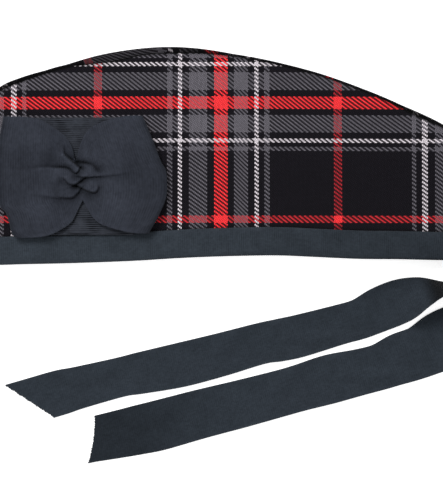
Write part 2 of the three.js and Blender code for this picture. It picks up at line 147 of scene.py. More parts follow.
# The side view, as shares of the length and height: the crest, and the sag of the band's edge.
PROFILE = table(
    "along crest edge",
    (0.0125, 0.784, -0.014),
    (0.035, 0.832, -0.013),
    (0.077, 0.874, -0.01),
    (0.16, 0.927, -0.006),
    (0.244, 0.981, 0.0),
    (0.327, 1.011, 0.008),
    (0.39, 1.019, 0.017),
    (0.452, 1.011, 0.024),
    (0.535, 0.981, 0.03),
    (0.619, 0.941, 0.032),
    (0.702, 0.89, 0.024),
    (0.785, 0.824, 0.016),
    (0.869, 0.751, 0.014),
    (0.952, 0.667, 0.01),
    (0.985, 0.624, 0.009),
)
FRONT_EDGE = table(
    "up inset", (-0.02, 0.0063), (0.248, 0.0015), (0.444, 0), (0.625, 0.0025), (0.784, 0.0125)
)
BACK_EDGE = table(
    "up inset", (-0.02, 0.0045), (0.209, 0), (0.366, 0), (0.499, 0.004), (0.609, 0.015)
)

# How much of the crown insert shows outside the crest seam along the cap, in millimetres.
RIM = table(
    "at width",
    (-144, 2.2), (-121, 2.6), (-109, 2.0), (-100, 1.5), (-91, 2.1), (-82, 3.9),
    (-73, 5.2), (-65, 5.8), (-48, 4.4), (-32, 4.1), (-14, 3.0), (9, 1.6),
    (41, 1.2), (86, 1.0), (107, 1.8), (119, 2.7), (131, 2.0), (144, 1.6),
)

WEFT_DRIFT = 0.5  # how far the weft has drifted up, above the thick red stripe
WEFT_DRIFT_REACH = 14

# How far the warp has drifted along the cap, in millimetres, as it lies pulled and pressed.
WARP_DRIFT = table(
    "at drift",
    (-144, 5), (-125.6, 3.8), (-74.4, 1.8), (-25, 1.6), (-9.3, 0.9), (7.5, 0.9),
    (15, 2.8), (26.7, 2.7), (69.5, 3.3), (115.8, 0), (128.2, -1.1), (144, -2.5),
)

# The tails' centre lines: along as a share of their reach from the band's back end, below as a
# share of the ribbon's width from the band's edge line, the bank in degrees, and the width
# that shows as a share of the ribbon's.
LEFT_TAIL = table(
    "along below bank width",
    (-0.003, -0.33, 0, 0.62),
    (0.0204, -0.22, 8, 0.7),
    (0.0424, -0.06, 60, 0.9),
    (0.0579, 0.141, 70, 1),
    (0.0623, 0.359, 84, 1),
    (0.0512, 0.52, 88, 1),
    (0.027, 0.58, 86, 1),
    (-0.0149, 0.57, 80, 1),
    (-0.0533, 0.59, 70, 1),
    (-0.0995, 0.69, 42, 0.99),
    (-0.1457, 0.882, 13, 1.03),
    (-0.1919, 1.075, 0, 1.02),
    (-0.2381, 1.29, 0, 0.93),
    (-0.2843, 1.421, 0, 0.915),
    (-0.3768, 1.676, 0, 0.97),
    (-0.423, 1.774, 0, 0.97),
    (-0.4692, 1.858, 0, 0.94),
    (-0.5616, 2.112, 0, 0.985),
    (-0.654, 2.342, 0, 1.01),
    (-0.7465, 2.528, 0, 0.95),
    (-0.7927, 2.622, 0, 0.905),
    (-0.8851, 2.851, 0, 0.965),
    (-0.9313, 2.97, 0, 1.03),
    (-1.002, 3.17, 0, 1.03),
)
RIGHT_TAIL = table(
    "along below bank width",
    (0, -0.35, 0, 0.62),
    (0.0259, -0.35, 10, 0.7),
    (0.0567, -0.33, 28, 0.9),
    (0.0843, -0.2, 66, 1),
    (0.1008, 0.09, 78, 1),
    (0.1008, 0.46, 74, 1),
    (0.0766, 0.88, 60, 1.1),
    (0.038, 1.24, 38, 1.24),
    (-0.0061, 1.56, 14, 1.34),
    (-0.0533, 1.81, 0, 1.35),
    (-0.0995, 2.045, 0, 1.205),
    (-0.1457, 2.2, 0, 1.17),
    (-0.1919, 2.385, 0, 1.06),
    (-0.2381, 2.505, 0, 1.06),
    (-0.3076, 2.665, 0, 1.12),
    (-0.3768, 2.862, 0, 1.065),
    (-0.423, 2.991, 0, 1.06),
    (-0.5154, 3.233, 0, 1.09),
    (-0.6078, 3.463, 0, 1.12),
    (-0.7003, 3.712, 0, 1.15),
    (-0.7465, 3.815, 0, 1.13),
    (-0.7927, 3.913, 0, 1.09),
    (-0.859, 4.045, 0, 1.03),
)

# The outlines of the bow's two wings, as shares of the bow's span and height from the knot.
# The upper and lower edges run out from the knot, and the outer one from the lower corner up.
BACK_WING = {
    "side": 1,
    "upper": table(
        "out up",
        (-0.006, 0.114), (0.017, 0.254), (0.051, 0.361), (0.086, 0.41),
        (0.16, 0.459), (0.217, 0.484), (0.331, 0.503), (0.377, 0.5),
    ),
    "lower": table(
        "out up",
        (0.011, -0.124), (0.034, -0.19), (0.12, -0.371), (0.217, -0.428),
        (0.32, -0.461), (0.411, -0.469),
    ),
    "outer": table(
        "out up",
        (0.411, -0.469), (0.47, -0.32), (0.514, -0.157), (0.517, -0.05),
        (0.509, 0.057), (0.486, 0.114), (0.446, 0.262), (0.377, 0.5),
    ),
}
FRONT_WING = {
    "side": -1,
    "upper": table(
        "out up",
        (0.01, 0.125), (0.029, 0.246), (0.069, 0.336), (0.126, 0.402),
        (0.2, 0.468), (0.28, 0.492), (0.423, 0.5),
    ),
    "lower": table(
        "out up",
        (-0.035, -0.126), (-0.033, -0.19), (-0.014, -0.25), (0.029, -0.371), (0.074, -0.42),
        (0.154, -0.478), (0.211, -0.494), (0.337, -0.502),
    ),
    "outer": table(
        "out up",
        (0.337, -0.502), (0.365, -0.48), (0.389, -0.371), (0.411, -0.288), (0.44, -0.247),
        (0.451, -0.108), (0.451, 0.139), (0.44, 0.369), (0.423, 0.5),
    ),
}


def crease(*rows):
    """A line of over and up, as shares of the bow's span and height from the knot.

    Dip and wide are how deep and broad the groove is, and step is how far the ribbon on the
    left of the line stands over what is on its right.
    """
    return table("over up dip step wide", *rows)


CREASES = {
    "above_left_pleat": crease(
        (-0.003, 0.024, 0.5, 0.5, 0.5), (-0.044, 0.067, 1.0, 1.0, 0.55), (-0.082, 0.076, 1.2, 1.5, 0.55),
        (-0.111, 0.078, 1.0, 1.5, 0.6), (-0.173, 0.085, 0.7, 1.0, 0.7), (-0.257, 0.073, 0.3, 0.5, 1.0),
        (-0.371, 0.057, 0, 0, 1.4),
    ),
    "below_left_pleat": crease(
        (-0.28, -0.136, 0, 0, 1.4), (-0.181, -0.16, 0.3, 0.5, 0.9), (-0.137, -0.173, 0.5, 0.9, 0.7),
        (-0.074, -0.177, 0.6, 1.1, 0.6), (-0.023, -0.173, 0.9, 1.3, 0.5), (0.011, -0.13, 1.0, 1.3, 0.5),
        (0.026, -0.096, 0.8, 0.8, 0.5),
    ),
    "inside_left_pleat": crease(
        (-0.086, -0.001, 0, 0, 0.6), (-0.067, -0.025, 0.7, 0.8, 0.5), (-0.047, -0.058, 0.9, 1.0, 0.5),
        (-0.018, -0.071, 1.0, 1.0, 0.5), (0.0, -0.072, 0.9, 0.8, 0.5),
    ),
    "below_right_pleat": crease(
        (0.006, 0.005, 0.9, 1.0, 0.5), (0.038, -0.008, 1.0, 1.3, 0.5), (0.105, -0.003, 0.9, 1.2, 0.5),
        (0.186, 0.005, 0.7, 0.9, 0.5), (0.257, 0.017, 0.4, 0.5, 0.6), (0.32, 0.036, 0, 0, 0.8),
    ),
    "above_right_pleat": crease(
        (0.154, 0.032, 0, 0, 1.6), (0.122, 0.051, 0.7, 0.3, 1.5), (0.09, 0.093, 0.8, 0.4, 1.3),
        (0.04, 0.114, 1.2, 0.8, 1.1), (-0.006, 0.118, 1.4, 1.0, 1.0),
    ),
    "below_right_finger": crease(
        (-0.003, -0.071, 1.0, 1.0, 0.5), (0.026, -0.092, 1.0, 1.6, 0.5), (0.067, -0.121, 0.9, 1.8, 0.55),
        (0.107, -0.13, 0.8, 1.6, 0.6), (0.123, -0.111, 0.7, 1.2, 0.6), (0.126, -0.083, 0.4, 0.6, 0.7),
        (0.114, -0.058, 0, 0, 0.7),
    ),
    "beyond_left_pleat": crease(
        (-0.018, -0.071, 1.0, 1.2, 0.5), (0.006, -0.054, 1.3, 1.5, 0.6), (0.031, -0.03, 1.4, 1.3, 0.7),
        (0.052, -0.008, 0.9, 0.6, 0.6),
    ),
    "above_upper_finger": crease(
        (0.02, 0.072, 1.2, 1.7, 0.6), (-0.027, 0.135, 1.3, 1.9, 0.6), (-0.065, 0.185, 0.9, 1.5, 0.6),
        (-0.073, 0.227, 0.5, 0.9, 0.8), (-0.074, 0.27, 0, 0, 1.0),
    ),
    "tip_of_upper_finger": crease(
        (-0.044, 0.067, 0.7, 0.9, 0.5), (-0.027, 0.047, 0.9, 1.2, 0.5), (-0.006, 0.026, 1.0, 1.3, 0.5),
        (0.011, 0.043, 1.1, 1.3, 0.5), (0.02, 0.072, 1.1, 1.2, 0.5),
    ),
}

# Broad swells and hollows of the bow: where as in a crease, how wide and how high.
SWELLS = table(
    "over up wide rise",
    (-0.088, 0.18, 1.8, 1.2),
    (-0.04, 0.11, 2.0, 1.1),
    (-0.15, 0.14, 4.5, -1.4),
    (-0.22, 0.28, 8.0, 0.9),
    (-0.33, 0.12, 7.0, -0.8),
    (-0.04, 0.0, 3.0, 1.4),
    (-0.13, 0.0, 5.0, 0.9),
    (-0.092, -0.05, 2.2, -1.3),
    (-0.035, -0.12, 2.6, 1.0),
    (-0.1, -0.21, 4.0, -1.1),
    (-0.25, -0.28, 8.0, 0.8),
    (0.014, 0.1, 1.2, -1.4),
    (0.03, -0.035, 1.2, -0.9),
    (0.075, 0.045, 2.8, 1.2),
    (0.14, 0.06, 3.2, -1.1),
    (0.06, 0.17, 4.0, 0.9),
    (0.2, 0.2, 9.0, 0.9),
    (0.32, 0.05, 6.0, -0.7),
    (0.19, -0.04, 4.5, 0.8),
    (0.08, -0.06, 2.8, 1.4),
    (0.075, -0.16, 3.0, -1.2),
    (0.22, -0.24, 7.0, 0.8),
)

# The outline of the knot, where its folds part from the wings.
KNOT_OUTLINE = table(
    "over up",
    (-0.097, 0.22), (-0.063, 0.205), (-0.029, 0.155), (-0.017, 0.131), (0.006, 0.122), (0.04, 0.131),
    (0.086, 0.114), (0.137, 0.065), (0.154, 0.007), (0.149, -0.075), (0.131, -0.141), (0.086, -0.157),
    (0.051, -0.145), (0.034, -0.155), (0.011, -0.165), (-0.023, -0.19), (-0.086, -0.198),
    (-0.131, -0.18), (-0.16, -0.11), (-0.16, -0.01), (-0.137, 0.09), (-0.114, 0.155),
)


# Sums that the shapes are worked out with.


def lerp(start, end, share):
    return start + (end - start) * share


def ease(share):
    share = np.clip(share, 0, 1)
    return share * share * (3 - 2 * share)


def bump(distance, width):
    """One at the middle of a crease and nothing a few widths away."""
    return np.exp(-((distance / width) ** 2))


def running(steps):
    """How far along a line each of its points is, from the steps between them."""
    return np.concatenate([[0], np.cumsum(steps)])


def grid(along, across):
    """A point for each pair of two lists, along first."""
    return np.stack(np.meshgrid(along, across, indexing="ij"), 2)


def smooth_through(positions, values):
    """A smooth function through points. Its slope at each is the mean of the two beside it."""
    positions = np.asarray(positions, float)
    values = np.asarray(values, float)
    beside = np.diff(values) / np.diff(positions)
    slopes = np.concatenate([beside[:1], (beside[1:] + beside[:-1]) / 2, beside[-1:]])

    def curve(at):
        at = np.clip(at, positions[0], positions[-1])
        before = np.clip(np.searchsorted(positions, at, side="right") - 1, 0, len(positions) - 2)
        span = positions[before + 1] - positions[before]
        share = (at - positions[before]) / span
        rest = 1 - share
        level = values[before] * rest + values[before + 1] * share
        skew_before = slopes[before] * span - (values[before + 1] - values[before])
        skew_after = slopes[before + 1] * span - (values[before + 1] - values[before])
        return level + rest * share * (rest * skew_before - share * skew_after)

    return curve


def bow_run(over, up):
    """How far along a line on the bow each of its points is, in millimetres."""
    return running(np.hypot(np.diff(over) * BOW_SPAN, np.diff(up) * BOW_HEIGHT))


def edge_line(rows):
    """The out and the up of a wing's edge, as smooth lines over the share of its length."""
    run = bow_run(rows["out"], rows["up"])
    return [smooth_through(run / run[-1], rows[name]) for name in ("out", "up")]


crest_share = smooth_through(PROFILE["along"], PROFILE["crest"])
edge_share = smooth_through(PROFILE["along"], PROFILE["edge"])
front_inset = smooth_through(FRONT_EDGE["up"], FRONT_EDGE["inset"])
back_inset = smooth_through(BACK_EDGE["up"], BACK_EDGE["inset"])
warp_drift = smooth_through(WARP_DRIFT["at"], WARP_DRIFT["drift"])
rim_at = smooth_through(RIM["at"], RIM["width"])
CREST_FRONT = CAP_LENGTH * (PROFILE["along"][0] - 0.5)
CREST_BACK = CAP_LENGTH * (PROFILE["along"][-1] - 0.5)


def crest_at(x):
    return CAP_HEIGHT * crest_share(x / CAP_LENGTH + 0.5)


def edge_at(x):
    return CAP_HEIGHT * edge_share(x / CAP_LENGTH + 0.5)


def front_at(y):
    return CAP_LENGTH * (front_inset(y / CAP_HEIGHT) - 0.5)


def back_at(y):
    return CAP_LENGTH * (0.5 - back_inset(y / CAP_HEIGHT))


def seam_at(x):
    """How high up the cap the seam of the crown insert runs."""
    return crest_at(x) - rim_at(x)


def crest_crease(x):
    """1 at the two ends of the crest, where the seam is drawn in most, and 0 between them."""
    along = np.clip((x - CREST_FRONT) / (CREST_BACK - CREST_FRONT), 0, 1)
    return 1 - ease(along / 0.3) * ease((1 - along) / 0.22)


def seam_draw(x):
    """How deep the stitches draw the crest seam in."""
    return 0.5 + 0.7 * crest_crease(x)


def half_depth(x, y):
    """Half the cap's thickness at a point of the plan."""
    share = np.clip((x - front_at(y)) / (back_at(y) - front_at(y)), 0, 1)
    up = np.clip((y - edge_at(x)) / (crest_at(x) - edge_at(x)), 0, 1)
    depth = lerp(MOUTH_DEPTH, CREST_DEPTH, ease(up)) + SIDE_BELLY * np.sin(np.pi * up)
    return NOSE_RADIUS + (depth / 2 - NOSE_RADIUS) * np.sin(np.pi * share) ** END_FULLNESS


def lift_at(x, y):
    return BAND_PROUD * (1 - ease((y - edge_at(x) - BAND_WIDTH) / BAND_FADE))


def side_height(x, y, turn):
    return lift_at(x, y) + half_depth(x, y) * (1 + turn)


def top_at(x, y):
    """The height of the upper side or the band, for what is sewn on it."""
    to_end = np.minimum(x - front_at(y), back_at(y) - x)
    left = 1 - np.clip(to_end / NOSE_RADIUS, 0, 1)
    return side_height(x, y, np.sqrt(1 - left * left)) + lift_at(x, y)


def side_columns(nose_steps, steps):
    """The columns of a side from seam to seam: share of the length, turn and lean."""
    first = math.asin(CLEARANCE / 2 / NOSE_RADIUS)
    angles = lerp(first, math.pi / 2, np.arange(nose_steps) / nose_steps)
    nose = NOSE_RADIUS * (1 - np.cos(angles)) / CAP_LENGTH
    start = NOSE_RADIUS / CAP_LENGTH
    flat = lerp(start, 1 - start, np.linspace(0, 1, steps + 1))
    share = np.concatenate([nose, flat, 1 - nose[::-1]])
    turn = np.concatenate([np.sin(angles), np.ones(steps + 1), np.sin(angles)[::-1]])
    lean = np.concatenate([-np.cos(angles), np.zeros(steps + 1), np.cos(angles)[::-1]])
    return share, turn, lean


def side_point(u, v):
    """A point of the plan, blended between the four edges of a side."""

    def foot(share):
        x = lerp(front_at(0), back_at(0), share)
        return np.array([x, edge_at(x) + HEM_RADIUS])

    def top(share):
        x = lerp(CREST_FRONT, CREST_BACK, share)
        return np.array([x, seam_at(x)])

    def end_edge(share, at, corner):
        y = lerp(foot(corner)[1], top(corner)[1], share)
        return np.array([at(y), y])

    front_low, front_high = end_edge(0.0, front_at, 0.0), end_edge(1.0, front_at, 0.0)
    back_low, back_high = end_edge(0.0, back_at, 1.0), end_edge(1.0, back_at, 1.0)
    shaped = (2,) + (1,) * np.ndim(u)
    low = lerp(front_low.reshape(shaped), back_low.reshape(shaped), u)
    high = lerp(front_high.reshape(shaped), back_high.reshape(shaped), u)
    up_down = lerp(foot(u), top(u), v)
    front_back = lerp(end_edge(v, front_at, 0.0), end_edge(v, back_at, 1.0), u)
    return up_down + front_back - lerp(low, high, v)


# Where the cap's own plan lies in the shared frame.
knot_low, knot_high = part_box("bow_knot")
knot_middle = (knot_low + knot_high) / 2
PLAN_SHIFT = np.array([knot_middle.x - KNOT_X * MM, knot_middle.y - BOW_UP * MM, 0])


# Cloth as closed meshes.


def in_scene(name, data):
    """A new object in the scene."""
    thing = bpy.data.objects.new(name, data)
    bpy.context.scene.collection.objects.link(thing)
    return thing


def face_normals(face, looped):
    """Which way a grid of points faces, with its rows to the right and its columns up."""
    if looped:
        along = np.roll(face, -1, 0) - np.roll(face, 1, 0)
    else:
        along = np.gradient(face, axis=0)
    normals = np.cross(along, np.gradient(face, axis=1))
    return normals / np.maximum(np.linalg.norm(normals, axis=2, keepdims=True), 1e-9)


def set_attribute(mesh, name, kind, values):
    """Gives a mesh a number or a vector at each of its points."""
    label = "value" if kind == "FLOAT" else "vector"
    store = mesh.attributes.new(name, kind, "POINT").data
    store.foreach_set(label, values.astype(np.float32).ravel())


def cloth_sheet(name, face, behind, pattern, looped=False, kept=None, shade=None, along=None):
    """A closed sheet between two grids of points. Behind is its back, or how thick it is.

    Pattern holds a place in the weave for each point, with a row more than the face where the
    sheet is looped. Kept says which cells of the grid are cloth. Shade is how much light each
    point of the face keeps; the back keeps all of it.
    """
    if np.ndim(behind) == 0:
        behind = face - face_normals(face, looped) * behind
    rows, columns = face.shape[:2]
    spans = rows if looped else rows - 1
    row, column = np.meshgrid(np.arange(spans), np.arange(columns - 1), indexing="ij")
    cells = np.ones((spans, columns - 1), bool) if kept is None else kept
    row, column = row[cells], column[cells]
    corners = [(0, 0), (1, 0), (1, 1), (0, 1)]
    quads = np.stack([((row + r) % rows) * columns + column + c for r, c in corners], 1)
    places = np.stack([(row + r) * columns + column + c for r, c in corners], 1)
    starts, ends = quads.ravel(), np.roll(quads, -1, 1).ravel()
    place_starts, place_ends = places.ravel(), np.roll(places, -1, 1).ravel()
    count = rows * columns
    border = ~np.isin(starts * count + ends, ends * count + starts)
    a, b = starts[border], ends[border]
    place_a, place_b = place_starts[border], place_ends[border]
    rim = np.stack([b, a, a + count, b + count], 1)
    rim_places = np.stack([place_b, place_a, place_a, place_b], 1)
    faces = np.concatenate([quads, quads[:, ::-1] + count, rim])
    face_places = np.concatenate([places, places[:, ::-1], rim_places])
    used, faces = np.unique(faces, return_inverse=True)
    faces = faces.reshape(-1, 4)
    points = np.concatenate([face.reshape(-1, 3), behind.reshape(-1, 3)])[used]
    mesh = bpy.data.meshes.new(name)
    mesh.from_pydata((points * MM + PLAN_SHIFT).tolist(), [], faces.tolist())
    corner_places = pattern.reshape(-1, 2)[face_places.ravel()]
    mesh.uv_layers.new(name="weave").data.foreach_set("uv", corner_places.astype(np.float32).ravel())
    for attribute, values in (("shade", shade), ("along", along)):
        if values is not None:
            front = np.broadcast_to(values, (rows, columns)).ravel()
            under = np.ones(count) if attribute == "shade" else front
            set_attribute(mesh, attribute, "FLOAT", np.concatenate([front, under])[used])
    mesh.shade_smooth()
    mesh.update()
    return in_scene(name, mesh)


def flat_area(face, kept=1):
    """The area of the kept cells of a grid of points, in square metres."""
    right, up = face[1:, :-1] - face[:-1, :-1], face[:-1, 1:] - face[:-1, :-1]
    return float((np.linalg.norm(np.cross(right, up), axis=2) * kept).sum()) * MM * MM


def finish_piece(piece, nodes, area=None):
    """Hides the CAD parts that a piece stands for, and attaches the piece to the root body."""
    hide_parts(*nodes)
    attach(piece, "root")


# Shader sums and effects.

NUMBER = "NodeSocketFloat"
COLOUR = "NodeSocketColor"
SHAPE = "NodeSocketGeometry"
FINISH = "NodeSocketMaterial"


def connect(tree, value, socket):
    """Links a field or a socket to another socket, or sets a plain value there."""
    if isinstance(value, Field):
        value = value.socket
    if isinstance(value, bpy.types.NodeSocket):
        tree.links.new(value, socket)
    else:
        socket.default_value = value


def add_node(tree, kind, inputs=(), **settings):
    """A new node with its settings, and with a value or a link for each input named."""
    node = tree.nodes.new(kind)
    for name, value in settings.items():
        setattr(node, name, value)
    for socket, value in dict(inputs).items():
        connect(tree, value, node.inputs[socket])
    return node


class Field:
    """A socket of a node tree that sums can be written with."""

    def __init__(self, tree, socket):
        self.tree = tree
        self.socket = socket

    def math(self, operation, *others):
        inputs = enumerate((self, *others))
        node = add_node(self.tree, "ShaderNodeMath", inputs, operation=operation)
        return Field(self.tree, node.outputs[0])

    def __add__(self, other):
        return self.math("ADD", other)

    def __sub__(self, other):
        return self.math("SUBTRACT", other)

    def __mul__(self, other):
        return self.math("MULTIPLY", other)

    def __truediv__(self, other):
        return self.math("DIVIDE", other)


def linear(red, green, blue):
    """A colour read as 8-bit screen values, as the shader takes it."""

    def channel(value):
        value = value / 255
        return value / 12.92 if value <= 0.04045 else ((value + 0.055) / 1.055) ** 2.4

    return (channel(red), channel(green), channel(blue), 1)


def new_group(name, kind, inputs, outputs):
    """A node group, its inputs as fields, and its output node. A socket is (name, type, value)."""
    group = bpy.data.node_groups.new(name, kind)
    for in_out, sockets in (("INPUT", inputs), ("OUTPUT", outputs)):
        for label, socket_type, *value in sockets:
            socket = group.interface.new_socket(name=label, in_out=in_out, socket_type=socket_type)
            if value:
                socket.default_value = value[0]
    source = group.nodes.new("NodeGroupInput")
    target = group.nodes.new("NodeGroupOutput")
    given = [Field(group, socket) for socket in list(source.outputs)[: len(inputs)]]
    return group, given, target


def mixed(tree, factor, first, second, blend="MIX"):
    """A colour mixed from two. Each is a socket or a colour."""
    inputs = {"Factor": factor, 6: first, 7: second}
    return add_node(tree, "ShaderNodeMix", inputs, data_type="RGBA", blend_type=blend).outputs[2]


def shaded(tree, colour, shade):
    """A colour that keeps only a share of its light."""
    grey = add_node(tree, "ShaderNodeCombineColor", {0: shade, 1: shade, 2: shade})
    return mixed(tree, 1.0, colour, grey.outputs[0], "MULTIPLY")


BLACK_WOOL = linear(24, 22, 27)
RED_WOOL = linear(255, 59, 64)
PLAIN_RED_WOOL = linear(202, 50, 56)
DARK_RED_WOOL = linear(168, 44, 51)
GREY_WOOL = linear(100, 97, 104)
WHITE_WOOL = linear(218, 210, 216)

# The setts from the middle of the thick red stripe, warp and weft: where each colour starts.
WARP_SETT = [
    (0.0, RED_WOOL),
    (0.054, BLACK_WOOL),
    (0.112, GREY_WOOL),
    (0.25, BLACK_WOOL),
    (0.304, WHITE_WOOL),
    (0.34, BLACK_WOOL),
    (0.386, GREY_WOOL),
    (0.424, BLACK_WOOL),
    (0.965, DARK_RED_WOOL),
]
WEFT_SETT = [
    (0.0, RED_WOOL),
    (0.053, BLACK_WOOL),
    (0.104, GREY_WOOL),
    (0.257, BLACK_WOOL),
    (0.304, WHITE_WOOL),
    (0.34, BLACK_WOOL),
    (0.38, GREY_WOOL),
    (0.41, BLACK_WOOL),
    (0.972, PLAIN_RED_WOOL),
]


def sett_colour(tree, sett, thread, pitch, half_sett):
    """The colour of a thread by its number from the middle of the thick red stripe."""
    distance = ((thread + 0.5) * pitch / half_sett).math("PINGPONG", 1.0)
    ramp = add_node(tree, "ShaderNodeValToRGB", {0: distance})
    stops = ramp.color_ramp
    stops.interpolation = "CONSTANT"
    while len(stops.elements) < len(sett):
        stops.elements.new(0.5)
    for stop, (place, colour) in zip(stops.elements, sett):
        stop.position = place
        stop.color = colour
    return ramp.outputs["Color"]


def brightness(tree, colour):
    return Field(tree, add_node(tree, "ShaderNodeRGBToBW", {0: colour}).outputs[0])


def is_red(tree, colour):
    """1 for a red thread and 0 for a grey, white or black one."""
    parts = add_node(tree, "ShaderNodeSeparateColor", {0: colour}).outputs
    return (Field(tree, parts[0]) - Field(tree, parts[1]) * 3.0).math("GREATER_THAN", 0.25)


def thread_tone(tree, thread, along, seed):
    """A tone between 0 and 1 for each thread, and slowly along it."""
    place = add_node(tree, "ShaderNodeCombineXYZ", {0: thread, 1: along * 0.07, 2: seed})
    inputs = {"Vector": place.outputs[0], "Scale": 1.7, "Detail": 1.0}
    return Field(tree, add_node(tree, "ShaderNodeTexNoise", inputs).outputs[0])


WEAVE = [("Color", COLOUR), ("Height", NUMBER)]


def tartan_twill():
    """Two-over-two twill in the sett: each thread's colour and how high it lies."""
    inputs = [
        ("Across", NUMBER, 0.0),
        ("Up", NUMBER, 0.0),
        ("Warp Thread", NUMBER, WARP_THREAD),
        ("Weft Thread", NUMBER, WEFT_THREAD),
        ("Warp Half Sett", NUMBER, WARP_HALF_SETT),
        ("Weft Half Sett", NUMBER, WEFT_HALF_SETT),
        ("Tone", NUMBER, 1.0),
    ]
    group, given, target = new_group("tartan_twill", "ShaderNodeTree", inputs, WEAVE)
    across, up, warp, weft, warp_sett, weft_sett, tone = given
    warp_place, weft_place = across / warp, up / weft
    warp_number, weft_number = warp_place.math("FLOOR"), weft_place.math("FLOOR")
    warp_part, weft_part = warp_place - warp_number, weft_place - weft_number
    step = (warp_number + weft_number).math("FLOORED_MODULO", 4.0)
    warp_up = step.math("LESS_THAN", 1.5)
    weft_up = warp_up * -1.0 + 1.0

    def arch(part):
        return (part * math.pi).math("SINE").math("MAXIMUM", 0.0)

    # A thread is round across its width and arched along its float over two others.
    warp_height = arch(warp_part) * 0.5 + arch((step + weft_part) / 2.0) * 0.5
    weft_height = arch(weft_part) * 0.5 + arch((step - 2.0 + warp_part) / 2.0) * 0.5
    height = warp_height * warp_up + weft_height * weft_up
    warp_colour = sett_colour(group, WARP_SETT, warp_number, warp, warp_sett)
    weft_colour = sett_colour(group, WEFT_SETT, weft_number, weft, weft_sett)
    over = mixed(group, warp_up, weft_colour, warp_colour)
    under = mixed(group, warp_up, warp_colour, weft_colour)

    # The thread beneath shows through a little, most where neither is dark or white.
    warp_light, weft_light = brightness(group, warp_colour), brightness(group, weft_colour)
    darker = warp_light.math("MINIMUM", weft_light)
    not_white = warp_light.math("MAXIMUM", weft_light).math("LESS_THAN", 0.5)
    through = (darker * 2.4).math("MINIMUM", 0.3) * not_white + 0.04
    both_red = is_red(group, warp_colour) * is_red(group, weft_colour)
    top = mixed(group, both_red, mixed(group, through, over, under), RED_WOOL)

    warp_tone = thread_tone(group, warp_number, weft_number, 3.0)
    weft_tone = thread_tone(group, weft_number, warp_number, 11.0)
    tones = warp_tone * warp_up + weft_tone * weft_up
    # Painted shade: each thread darker towards its edges and the ends of its float, and Tone brings the
    # shade painted on the mesh.
    lit = (height * 1.36 - 0.07).math("MAXIMUM", 0.04)
    shade = lit * (tones * 0.6 + 0.7) * tone
    connect(group, shaded(group, top, shade), target.inputs["Color"])
    connect(group, height, target.inputs["Height"])
    return group


def ribbed_ribbon():
    """Ribbon with ribs across it: its colour, with painted shade in the ribs' grooves, and how high the
    yarn lies.
    """
    inputs = [
        ("Along", NUMBER, 0.0),
        ("Across", NUMBER, 0.0),
        ("Rib Pitch", NUMBER, RIB_PITCH),
        ("Groove", NUMBER, 0.3),
        ("Edge", NUMBER, 0.1),
        ("Tone", NUMBER, 1.0),
        ("Color", COLOUR, (0.03, 0.035, 0.045, 1)),
    ]
    group, given, target = new_group("ribbed_ribbon", "ShaderNodeTree", inputs, WEAVE)
    along, across, pitch, groove, edge, tone, colour = given
    rib = (along / pitch * math.pi).math("SINE").math("ABSOLUTE")
    warp_yarns = (across * (math.pi * YARNS_ACROSS)).math("SINE").math("ABSOLUTE")
    to_edge = (across - 0.5).math("ABSOLUTE") * 2.0
    selvage = ((to_edge - 0.9) * 10.0).math("MAXIMUM", 0.0)
    slow = thread_tone(group, along * 0.05, across * 30.0, 5.0) * 0.44 + 0.78
    fine = thread_tone(group, along * 0.34, across * 240.0, 9.0) * 0.6 + 0.7
    # Painted shade: the ribs' grooves are darker, more in some patches than in others, and Tone brings
    # the shade painted on the mesh.
    patchy = thread_tone(group, along * 0.09, across * 60.0, 17.0)
    groove_shade_patches = (patchy * 4.0 - 1.4).math("MAXIMUM", 0.15)
    depth = (rib * -1.0 + 1.0) * groove * groove_shade_patches
    shade = (depth * -1.0 + 1.0) * (selvage * edge + 1.0) * slow * fine * tone
    connect(group, shaded(group, colour, shade), target.inputs["Color"])
    connect(group, rib * 0.7 + warp_yarns * 0.3, target.inputs["Height"])
    return group


def new_material(name, values):
    """A material with its nodes and its shader, and constants on the shader's own sockets."""
    material = bpy.data.materials.new(name)
    material.use_nodes = True
    shader = material.node_tree.nodes["Principled BSDF"]
    for label, value in values.items():
        shader.inputs[label].default_value = value
    return material, material.node_tree, shader


def woven_material(name, effect, values, roughness, sheen, bump_depth):
    """A cloth material whose colour and bump come from a weave group, over its own pattern."""
    finish = {
        "Roughness": roughness,
        "Sheen Weight": sheen,
        "Sheen Roughness": 0.5,
        "Specular IOR Level": 0.04,
    }
    material, tree, shader = new_material(name, finish)
    pattern = add_node(tree, "ShaderNodeUVMap", uv_map="weave")
    places = add_node(tree, "ShaderNodeSeparateXYZ", {0: pattern.outputs["UV"]}).outputs
    shade = add_node(tree, "ShaderNodeAttribute", attribute_name="shade")
    inputs = {0: places[0], 1: places[1], "Tone": shade.outputs["Fac"], **values}
    weave = add_node(tree, "ShaderNodeGroup", inputs, node_tree=effect)
    relief = {"Distance": bump_depth, "Strength": 1.0, "Height": weave.outputs["Height"]}
    raised = add_node(tree, "ShaderNodeBump", relief)
    connect(tree, weave.outputs["Color"], shader.inputs["Base Color"])
    connect(tree, raised.outputs["Normal"], shader.inputs["Normal"])
    return material


def ribbon_material(name, colour, groove):
    values = {"Color": colour, "Groove": groove, "Edge": 0.12}
    return woven_material(name, RIBBED, values, 0.8, 0.02, 0.08 * MM)


def thread_material():
    """Loose yarn of the ribbon, paler and darker from place to place."""
    values = {"Roughness": 0.8, "Specular IOR Level": 0.1}
    material, tree, shader = new_material("loose_ribbon_yarn", values)
    place = add_node(tree, "ShaderNodeTexCoord").outputs["Object"]
    noise = add_node(tree, "ShaderNodeTexNoise", {"Vector": place, "Scale": 900.0})
    yarn = mixed(tree, noise.outputs[0], linear(34, 38, 46), linear(62, 67, 76))
    connect(tree, yarn, shader.inputs["Base Color"])
    return material


